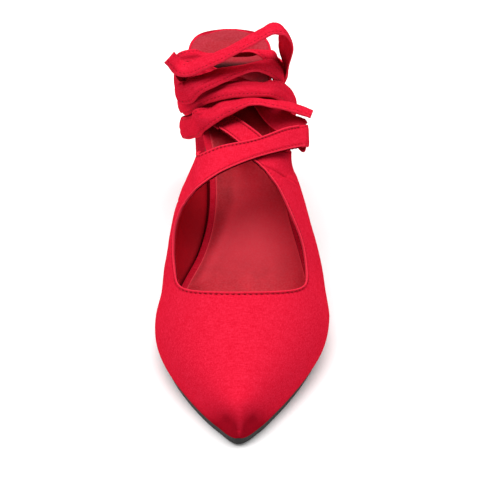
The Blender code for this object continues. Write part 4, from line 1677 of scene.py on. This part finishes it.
@dataclass
class HeelBlock:
    """The tapered block heel in its satin cover, and the wearing piece under it."""

    last: Last
    finishes: Finishes
    rows: int = 34
    levels: int = 26
    breast: float = 190.0
    back: float = 242.0
    foot_front: float = 199.0
    foot_back: float = 238.0
    foot_middle_x: float = -4.5
    foot_half_width: float = 17.0
    inset: float = 0.8
    waist: float = 0.10
    straight: float = 0.35
    roundness: float = 2.6
    last_turn: float = 0.485
    top_piece_height: float = 6.0
    top_piece_proud: float = 0.3
    top_piece_chamfer: float = 0.5
    cover_rounding: float = 0.6
    tip_rounding: float = 0.4

    def foot(self, grow: float, share: float) -> Points:
        """The heel's foot at a share of its length.

        Args:
            grow: How far its outline is moved outwards.
            share: Share of the way from its front to its back.

        Returns:
            The x of both sides and the station.
        """
        station = self.foot_front - grow + (self.foot_back - self.foot_front + 2 * grow) * share
        bend = max(0.0, (share - self.straight) / (1 - self.straight))
        half = (self.foot_half_width + grow) * math.sqrt(max(0.0, 1 - bend**self.roundness))
        return np.array([self.foot_middle_x - half, self.foot_middle_x + half, station])

    def shares(self) -> Points:
        """Shares of the heel's length at its rows, closer together towards the round back."""
        return np.sin(np.linspace(0.0, self.last_turn * np.pi, self.rows))

    @staticmethod
    def ring(rows: Sequence) -> list[tuple[float, float, float]]:
        """A ring from rows of left x, right x, station and height, front to back and round."""
        return [(row[0], row[2], row[3]) for row in rows] + [(row[1], row[2], row[3]) for row in rows[::-1]]

    def build(self) -> list[bpy.types.Object]:
        """Makes the covered block and its wearing piece.

        Returns:
            The two pieces.
        """
        outline = self.last.outline(-self.inset)
        rings = []
        for level in np.linspace(0.0, 1.0, self.levels):
            rows = []
            for share in self.shares():
                station = self.breast + (self.back - self.breast) * share
                seat = np.array([*self.last.edge_x(outline, station), station])
                blend = min(level + self.waist * math.sin(math.pi * level), 1.0)
                high = self.last.bottom_edge(station) - self.last.gap
                height = high + (self.top_piece_height + self.last.gap - high) * level
                rows.append((*(seat + (self.foot(0.0, share) - seat) * blend), height))
            rings += self.ring(rows)
        faces = loft_faces(2 * self.rows, self.levels)
        block = add_mesh("covered_heel", self.last.placed(rings), faces, [self.finishes.satin])
        soften_edges(block, self.cover_rounding)
        rings = []
        for height, grow in ((self.top_piece_height, 0.0), (0.0, -self.top_piece_chamfer)):
            rows = [(*self.foot(self.top_piece_proud + grow, share), height) for share in self.shares()]
            rings += self.ring(rows)
        faces = loft_faces(2 * self.rows, 2)
        tip = add_mesh("heel_tip", self.last.placed(rings), faces, [self.finishes.top_piece])
        soften_edges(tip, self.tip_rounding)
        return [seat_piece(block, Slot.SATIN, "heel"), seat_piece(tip, Slot.TOP_PIECE, "heel_top_piece")]


@dataclass
class Tie:
    """A band of folded satin, stitched along both edges, that runs on from a strap."""

    last: Last
    finishes: Finishes
    name: str
    node: str
    outer: int
    cord_length: float
    rows: tuple[TieRow, ...]
    width: float = 11.5
    thickness: float = 1.6
    steps: int = 8
    face_points: int = 23
    edge_power: float = 9.0
    stitch_place: float = 0.77
    groove: float = 0.30
    groove_width: float = 0.07
    puff: float = 0.90
    crown: float = 1.6
    crown_level: float = 0.5
    pleat: float = 0.5
    pleat_place: float = 0.3
    pleat_width: float = 0.13
    pleat_length: float = 62.0
    plain_start: float = 16.0
    # A painted highlight along the band's edges, and painted shade along its stitches
    light_width: float = 0.4
    light_share: float = 0.45
    seam_shade: float = 0.12
    ripple: float = 0.12
    ripple_length: float = 17.0
    ripple_slant: float = 0.3
    # A second, shorter ripple: its height and its rate beside the first
    second_ripple: float = 0.6
    second_rate: float = 2.3
    end_stitch: tuple[float, ...] = (1.6, 9.0)
    end_lift: float = 1.2
    end_points: int = 5
    stitch: StitchRow = field(default_factory=lambda: StitchRow(pitch=2.0, radius=0.18))

    def band(self) -> tuple[Points, Points, Points]:
        """The band's course.

        Returns:
            Its middle, the way across it and the way out of its outer face.
        """
        flat = spline(self.rows, self.steps)
        middle, across, skew = flat[:, :3], flat[:, 3:6], flat[:, 6:]
        along = unit(np.gradient(middle, axis=0))
        lean = (across * along).sum(axis=1)[:, None]
        square = across - along * lean
        size = np.linalg.norm(square, axis=1)[:, None]
        out = np.cross(along, square / size) * self.outer
        return middle, (square + along * lean * skew) / size, out

    def half_thickness(self, place: Points) -> Points:
        """Half the band's thickness, thin at its edges and dipped along its stitches.

        Args:
            place: Places across the band, -1 to 1.

        Returns:
            The half thickness at each, in millimetres.
        """
        size = np.abs(place)
        edge = np.sqrt(np.maximum(0.0, 1 - size**self.edge_power))
        dip = 1 - self.groove * bell(size - self.stitch_place, self.groove_width)
        return self.thickness / 2 * self.puff * edge * dip

    def relief(self, place: Points, length: float) -> Points:
        """How far the band's middle layer bows, pleats and ripples out of its plane.

        Args:
            place: Places across the band, -1 to 1.
            length: The length run from the band's start, in millimetres.

        Returns:
            The rise at each place, in millimetres, which is nothing where the band leaves its strap.
        """
        bow = self.crown * (self.crown_level - place**2)
        pleat_middle = self.pleat_place * math.sin(2 * math.pi * length / self.pleat_length)
        pleat = self.pleat * bell(place - pleat_middle, self.pleat_width)
        turn = 2 * math.pi * length / self.ripple_length
        slant = 2 * math.pi * self.ripple_slant * place
        wave = np.sin(turn + slant) + self.second_ripple * np.sin(self.second_rate * turn - slant)
        ease = float(np.clip((length - self.plain_start) / self.plain_start, 0.0, 1.0))
        return ease * (bow - pleat + self.ripple * wave * np.abs(place))

    def build(self) -> list[bpy.types.Object]:
        """Makes the band and its stitches.

        Returns:
            The two pieces.
        """
        middle, across, out = self.band()
        run = along_path(middle)
        places = np.sin(np.linspace(-np.pi / 2, np.pi / 2, self.face_points))
        thick = self.half_thickness(places)
        around = np.concatenate([places, places[-2:0:-1]])
        sizes = np.concatenate([thick, -thick[-2:0:-1]])
        rings = []
        for centre, wide, facing, length in zip(middle, across, out, run):
            lift = sizes + self.relief(around, length)
            rings.append(centre + np.outer(around * self.width / 2, wide) + np.outer(lift, facing))
        points = np.vstack(rings)
        count = len(around)
        faces = loft_faces(count, len(middle), capped=False)
        for start in (0, (len(middle) - 1) * count):
            faces.append(tuple(range(start, start + count)))
        piece = add_mesh(self.name, self.last.placed(points), faces, [self.finishes.satin])
        # A painted highlight along the band's edges, and painted shade along its stitches
        rim = (1 - np.abs(around)) * self.width / 2
        seam = bell(np.abs(around) - self.stitch_place, self.groove_width)
        light = self.light_share * bell(rim, self.light_width)
        add_tone(piece, Tone.EDGE, np.tile(light, len(middle)))
        add_tone(piece, Tone.PAINTED_SHADE, np.tile(self.seam_shade * seam, len(middle)))
        seat_piece(piece, Slot.SATIN, self.node)
        path = self.last.placed(middle)
        return [piece, self.stitches(middle, across, out, run)]

    def stitches(self, middle: Points, across: Points, out: Points, run: Points) -> bpy.types.Object:
        """Stitch rows along both edges and across the loose end.

        Args:
            middle: The band's middle.
            across: The way across it.
            out: The way out of its outer face.
            run: The length run at each point.

        Returns:
            The stitches as one piece.
        """
        lift = float(self.half_thickness(np.array([self.stitch_place]))[0])
        rows = []
        for sign in (-1, 1):
            spot = np.array([sign * self.stitch_place])
            rise = np.array([self.relief(spot, length) for length in run]) + lift
            rows.append((middle + across * spot * self.width / 2 + out * rise, out))
        for distance in self.end_stitch:
            place = int(np.searchsorted(run, run[-1] - distance))
            reach = np.linspace(-self.stitch_place, self.stitch_place, self.end_points) * self.width / 2
            rise = self.relief(reach * 2 / self.width, run[place]) + lift * self.end_lift
            path = middle[place] + across[place] * reach[:, None] + out[place] * rise[:, None]
            rows.append((path, np.repeat(out[place][None], len(path), axis=0)))
        return self.stitch.build(self.name + "_stitches", self.last, rows, self.finishes.thread)


@dataclass(frozen=True)
class BandFold:
    """A slanting fold where a band turns back under itself, its rows laid along the fold line."""

    start: tuple[float, float, float]
    along: tuple[float, float, float]
    across: tuple[float, float, float]
    radius: float = 1.8
    slant: float = 26.0
    turn: float = 160.0
    count: int = 4

    def rows(self) -> tuple[TieRow, ...]:
        """The band round the fold.

        Returns:
            Its rows, in the order in which it runs.
        """
        along, wide = unit(np.array(self.along)), np.array(self.across)
        wide = unit(wide - along * (wide @ along))
        out = np.cross(along, wide)
        slant = math.radians(self.slant)
        line = math.cos(slant) * wide + math.sin(slant) * along
        way = (along - math.sin(slant) * line) / math.cos(slant)
        found = []
        for angle in np.radians(np.linspace(0.0, self.turn, self.count)):
            reach = out * (math.cos(angle) - 1) + way * math.sin(angle) + line * angle * math.tan(slant)
            found.append(TieRow(*(np.array(self.start) + reach * self.radius), *line, 1.0))
        return tuple(found)


MEDIAL_FOLD = BandFold((31.5, 159.8, 59.3), (0.82, 0.555, -0.125), (-0.22, 0.84, 0.50))
MEDIAL_TIE = (
    TieRow(28.4, 157.7, 59.8, -0.22, 0.84, 0.50, 1.0),
    *MEDIAL_FOLD.rows(),
    TieRow(27.4, 168.3, 59.5, 0.42, 0.8, 0.42),
    TieRow(22.4, 172.2, 59.2, 0.53, 0.7, 0.48),
    TieRow(17.0, 180.2, 59.8, 0.5, 0.72, 0.46),
    TieRow(10.0, 190.3, 64.0, 0.5, 0.77, 0.4),
    TieRow(0.0, 194.5, 67.0, 0.35, 0.84, 0.42),
    TieRow(-10.0, 197.7, 69.4, 0.15, 0.88, 0.44),
    TieRow(-17.5, 198.8, 72.6, 0.0, 0.87, 0.5),
    TieRow(-23.0, 198.6, 73.8, -0.05, 0.8, 0.6),
    TieRow(-27.8, 197.4, 72.8, -0.1, 0.4, 0.9),
    TieRow(-29.8, 193.4, 69.8, -0.1, 0.0, 1.0),
    TieRow(-28.9, 189.3, 67.6, 0.0, 0.1, 1.0),
    TieRow(-25.0, 187.0, 68.4, -0.15, 0.5, 0.85),
    TieRow(-20.6, 186.6, 72.4, -0.2, 0.85, 0.45),
    TieRow(-12.4, 188.6, 75.2, -0.1, 0.97, 0.2),
    TieRow(-6.6, 191.8, 76.3, -0.05, 0.98, 0.1),
    TieRow(5.0, 196.8, 76.9, 0.0, 0.97, -0.2),
    TieRow(10.8, 198.9, 76.4, 0.0, 0.98, 0.05),
    TieRow(16.2, 200.6, 74.8, 0.0, 0.9, 0.4),
    TieRow(20.0, 202.5, 70.7, 0.0, 0.82, 0.57),
    TieRow(21.0, 204.8, 65.6, 0.0, 0.78, 0.62),
    TieRow(20.8, 209.0, 60.5, 0.0, 0.68, 0.73),
    TieRow(20.3, 214.5, 55.3, 0.0, 0.5, 0.87),
    TieRow(19.6, 222.0, 49.4, 0.0, 0.25, 0.97),
    TieRow(15.5, 232.0, 46.8, 0.0, 0.1, 1.0),
    TieRow(7.0, 240.5, 46.5, 0.0, 0.0, 1.0),
    TieRow(-4.5, 243.8, 46.3, 0.0, 0.0, 1.0),
    TieRow(-16.5, 240.5, 46.3, 0.0, 0.0, 1.0),
    TieRow(-24.8, 232.0, 46.8, 0.0, -0.1, 1.0),
    TieRow(-28.2, 222.0, 47.0, 0.0, -0.2, 0.98),
    TieRow(-29.2, 212.0, 50.4, 0.0, -0.25, 0.97),
    TieRow(-28.6, 203.5, 54.8, 0.0, -0.2, 0.97),
    TieRow(-27.4, 197.0, 57.2, 0.0, 0.0, 1.0),
    TieRow(-26.8, 192.0, 59.4, -0.05, 0.15, 0.97),
    TieRow(-24.9, 188.5, 62.2, -0.15, 0.3, 0.93),
    TieRow(-20.0, 186.6, 66.6, -0.3, 0.6, 0.74),
    TieRow(-13.8, 186.0, 69.3, -0.2, 0.85, 0.48),
    TieRow(-4.4, 185.4, 71.0, -0.05, 0.95, 0.3),
    TieRow(4.9, 185.4, 71.5, 0.0, 0.97, 0.22),
    TieRow(13.6, 186.8, 70.4, 0.05, 0.98, 0.15),
    TieRow(19.0, 190.0, 68.1, 0.1, 0.95, 0.3),
    TieRow(22.8, 193.0, 64.6, 0.1, 0.88, 0.46),
    TieRow(26.2, 196.5, 59.2, 0.0, 0.82, 0.57),
    TieRow(27.2, 201.0, 52.6, 0.0, 0.72, 0.69),
    TieRow(25.6, 207.0, 45.4, 0.0, 0.52, 0.85),
    TieRow(22.2, 216.0, 38.2, 0.0, 0.3, 0.95),
    TieRow(16.8, 228.0, 33.4, 0.0, 0.15, 0.99),
    TieRow(8.6, 239.0, 32.0, 0.0, 0.0, 1.0),
    TieRow(-4.5, 243.2, 31.6, 0.0, 0.0, 1.0),
    TieRow(-17.6, 239.0, 31.6, 0.0, 0.0, 1.0),
    TieRow(-24.6, 228.0, 32.2, 0.0, -0.1, 1.0),
    TieRow(-27.4, 217.0, 34.4, 0.0, -0.2, 0.98),
    TieRow(-28.3, 207.0, 38.4, 0.0, -0.28, 0.96),
    TieRow(-26.4, 197.0, 43.2, 0.0, -0.3, 0.95),
    TieRow(-23.4, 188.0, 48.8, 0.0, -0.25, 0.97),
    TieRow(-21.0, 180.8, 53.2, -0.15, 0.15, 0.97),
    TieRow(-19.0, 176.6, 58.6, -0.4, 0.55, 0.74),
    TieRow(-12.3, 176.3, 62.0, -0.3, 0.93, 0.2),
    TieRow(-6.6, 178.0, 65.0, -0.15, 0.95, 0.25),
    TieRow(2.0, 179.4, 67.2, 0.0, 0.98, -0.05),
    TieRow(7.3, 179.0, 67.8, 0.0, 0.95, -0.25),
    TieRow(12.1, 177.8, 67.7, 0.0, 0.93, -0.35),
    TieRow(16.3, 176.8, 67.6, 0.0, 0.96, -0.25),
    TieRow(23.5, 175.9, 66.9, 0.05, 0.98, -0.18),
    TieRow(31.1, 174.6, 64.9, 0.05, 0.98, -0.18),
    TieRow(35.0, 173.8, 63.6, 0.05, 0.98, -0.18),
)
LATERAL_TIE = (
    TieRow(-5.65, 176.35, 57.0, 0.79, 0.57, 0.22),
    TieRow(-10.4, 182.2, 58.2, 0.72, 0.62, 0.3),
    TieRow(-15.2, 189.2, 61.6, 0.62, 0.66, 0.42),
    TieRow(-21.4, 194.6, 65.1, 0.42, 0.62, 0.66),
    TieRow(-25.5, 200.3, 62.2, 0.1, 0.28, 0.95),
    TieRow(-26.6, 208.0, 59.6, 0.0, 0.05, 1.0),
    TieRow(-27.0, 217.0, 60.2, 0.0, 0.0, 1.0),
    TieRow(-26.8, 228.0, 60.5, 0.0, 0.0, 1.0),
    TieRow(-23.0, 237.5, 60.5, 0.0, 0.0, 1.0),
    TieRow(-14.5, 244.8, 60.5, 0.0, 0.0, 1.0),
    TieRow(-4.5, 246.6, 60.5, 0.0, 0.0, 1.0),
    TieRow(6.0, 244.5, 60.5, 0.0, 0.0, 1.0),
    TieRow(14.0, 237.5, 60.7, 0.0, 0.0, 1.0),
    TieRow(17.6, 228.0, 61.0, 0.0, 0.05, 1.0),
    TieRow(18.2, 219.0, 62.5, 0.0, 0.2, 0.98),
    TieRow(18.4, 213.5, 66.0, 0.0, 0.5, 0.87),
    TieRow(18.2, 211.5, 71.5, 0.05, 0.85, 0.5),
    TieRow(15.6, 211.8, 75.6, 0.1, 0.93, 0.2),
    TieRow(9.5, 213.0, 77.0, 0.05, 0.85, -0.4),
    TieRow(2.0, 213.4, 76.6, 0.0, 0.78, -0.6),
    TieRow(-7.0, 213.0, 75.8, 0.0, 0.86, -0.4),
    TieRow(-15.0, 211.4, 74.8, 0.0, 0.97, 0.1),
    TieRow(-22.0, 209.4, 74.6, -0.05, 0.6, 0.8),
    TieRow(-27.8, 210.2, 72.6, -0.1, 0.5, 0.87),
    TieRow(-30.4, 212.5, 68.4, -0.1, 0.45, 0.9),
    TieRow(-31.0, 219.0, 64.4, 0.0, 0.35, 0.94),
    TieRow(-29.8, 227.0, 60.8, 0.0, 0.2, 0.98),
    TieRow(-25.5, 238.0, 58.5, 0.0, 0.1, 1.0),
    TieRow(-16.0, 246.9, 57.5, 0.0, 0.0, 1.0),
    TieRow(-4.5, 249.4, 57.3, 0.0, 0.0, 1.0),
    TieRow(7.5, 246.8, 57.5, 0.0, 0.0, 1.0),
    TieRow(16.5, 239.8, 58.0, 0.0, 0.05, 1.0),
    TieRow(21.0, 230.0, 59.5, 0.0, 0.15, 0.99),
    TieRow(22.6, 221.0, 61.8, 0.0, 0.3, 0.95),
    TieRow(23.0, 214.0, 66.0, -0.05, 0.6, 0.8),
    TieRow(22.8, 209.5, 72.0, -0.2, 0.85, 0.48),
    TieRow(22.8, 206.5, 78.5, -0.45, 0.88, 0.15),
    TieRow(23.4, 204.5, 85.0, -0.57, 0.82, 0.0),
    TieRow(22.8, 203.5, 90.5, -0.45, 0.9, 0.0),
    TieRow(20.2, 203.3, 94.4, -0.2, 0.97, 0.0),
    TieRow(16.2, 202.0, 95.2, 0.05, 0.98, 0.05),
    TieRow(11.2, 199.8, 93.7, 0.15, 0.97, 0.05),
    TieRow(3.5, 196.4, 90.6, 0.15, 0.97, 0.05),
    TieRow(-5.3, 193.4, 86.8, 0.1, 0.98, 0.05),
    TieRow(-15.0, 191.6, 82.8, 0.05, 0.98, 0.1),
    TieRow(-21.5, 191.4, 80.0, 0.1, 0.95, 0.2),
    TieRow(-25.6, 192.2, 78.7, 0.2, 0.94, 0.2),
    TieRow(-28.6, 193.8, 79.1, 0.27, 0.94, 0.15),
    TieRow(-31.0, 195.2, 80.9, 0.29, 0.95, 0.12),
    TieRow(-33.2, 196.0, 83.1, 0.29, 0.95, 0.12),
)


@dataclass
class Studio:
    """A pale floor, soft overhead light and the camera at the photograph's angle."""

    camera_place: tuple[float, float, float] = (-0.65, -703.3, 460.6)
    camera_pitch: float = 31.8
    lens: float = 133.7
    sensor: float = 36.0
    clip_start: float = 0.05
    floor_size: float = 6.0
    floor_colour: str = "#F2F2F2"
    floor_roughness: float = 0.9
    floor_gloss: float = 0.1
    floor_glow: float = 0.12
    sky_colour: str = "#FFFFFF"
    sky: float = 0.34
    # Each lamp's place, breadth, depth and power
    lamps: tuple[tuple[tuple[float, float, float], float, float, float], ...] = (
        ((-0.1, 0.3, 1.5), 3.2, 1.3, 47.0),
        ((-0.1, 1.2, 0.95), 0.9, 0.9, 1.5),
    )

    def build(self) -> None:
        """Sets up floor, light and camera."""
        self.add_floor()
        self.add_light()
        self.add_camera()

    def add_floor(self) -> None:
        """A wide plain paper floor, lit a little from below as on a light table."""
        half = self.floor_size / 2
        corners = [(-half, -half, 0.0), (half, -half, 0.0), (half, half, 0.0), (-half, half, 0.0)]
        made, tree, shader = new_material("studio_paper_matt")
        colour = linear_colour(self.floor_colour)
        values = {
            "Base Color": colour,
            "Roughness": self.floor_roughness,
            "Specular IOR Level": self.floor_gloss,
            "Emission Color": colour,
            "Emission Strength": self.floor_glow,
        }
        set_sockets(tree, shader, values, None)
        add_mesh("floor", np.array(corners), [(0, 1, 2, 3)], [made])

    def add_light(self) -> None:
        """An even pale sky and soft lamps above."""
        world = bpy.data.worlds.new("studio_sky")
        world.use_nodes = True
        sky = {"Color": linear_colour(self.sky_colour), "Strength": self.sky}
        set_sockets(world.node_tree, world.node_tree.nodes["Background"], sky, None)
        bpy.context.scene.world = world
        bpy.context.scene.view_settings.view_transform = "Standard"
        for number, (place, breadth, depth, power) in enumerate(self.lamps):
            lamp = bpy.data.lights.new(f"softbox_{number}", "AREA")
            lamp.shape = "RECTANGLE"
            lamp.size = breadth
            lamp.size_y = depth
            lamp.energy = power
            found = bpy.data.objects.new(f"softbox_{number}", lamp)
            found.location = place
            found.rotation_euler = (-Vector(place)).to_track_quat("-Z", "Y").to_euler()
            bpy.context.scene.collection.objects.link(found)

    def add_camera(self) -> None:
        """The camera in front of the toe, looking down along the shoe."""
        lens = bpy.data.cameras.new("camera")
        lens.lens = self.lens
        lens.sensor_width = self.sensor
        lens.clip_start = self.clip_start
        found = bpy.data.objects.new("camera", lens)
        found.location = [value * MM for value in self.camera_place]
        found.rotation_euler = (math.radians(90 - self.camera_pitch), 0.0, 0.0)
        bpy.context.scene.collection.objects.link(found)
        bpy.context.scene.camera = found


def write_sizes() -> None:
    """Updates the view layer."""
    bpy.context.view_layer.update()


def main() -> None:
    """Builds the studio and every sub-assembly in order."""
    logging.basicConfig(level=logging.INFO, format="%(name)s: %(message)s")
    Studio().build()
    last, finishes = Last(), Finishes()
    assemblies = (
        Tie(
            last, finishes, "medial_tie_band", "tie_medial", outer=1, cord_length=570.0, rows=MEDIAL_TIE
        ),
        Tie(
            last, finishes, "lateral_tie_band", "tie_lateral", outer=-1, cord_length=402.0, rows=LATERAL_TIE
        ),
        Upper(last, finishes),
        Footbed(last, finishes),
        Outsole(last, finishes),
        HeelBlock(last, finishes),
    )
    for assembly in assemblies:
        pieces = assembly.build()
        LOG.info("%s: %s", type(assembly).__name__, ", ".join(piece.name for piece in pieces))
    write_sizes()


if __name__ == "__main__":
    main()
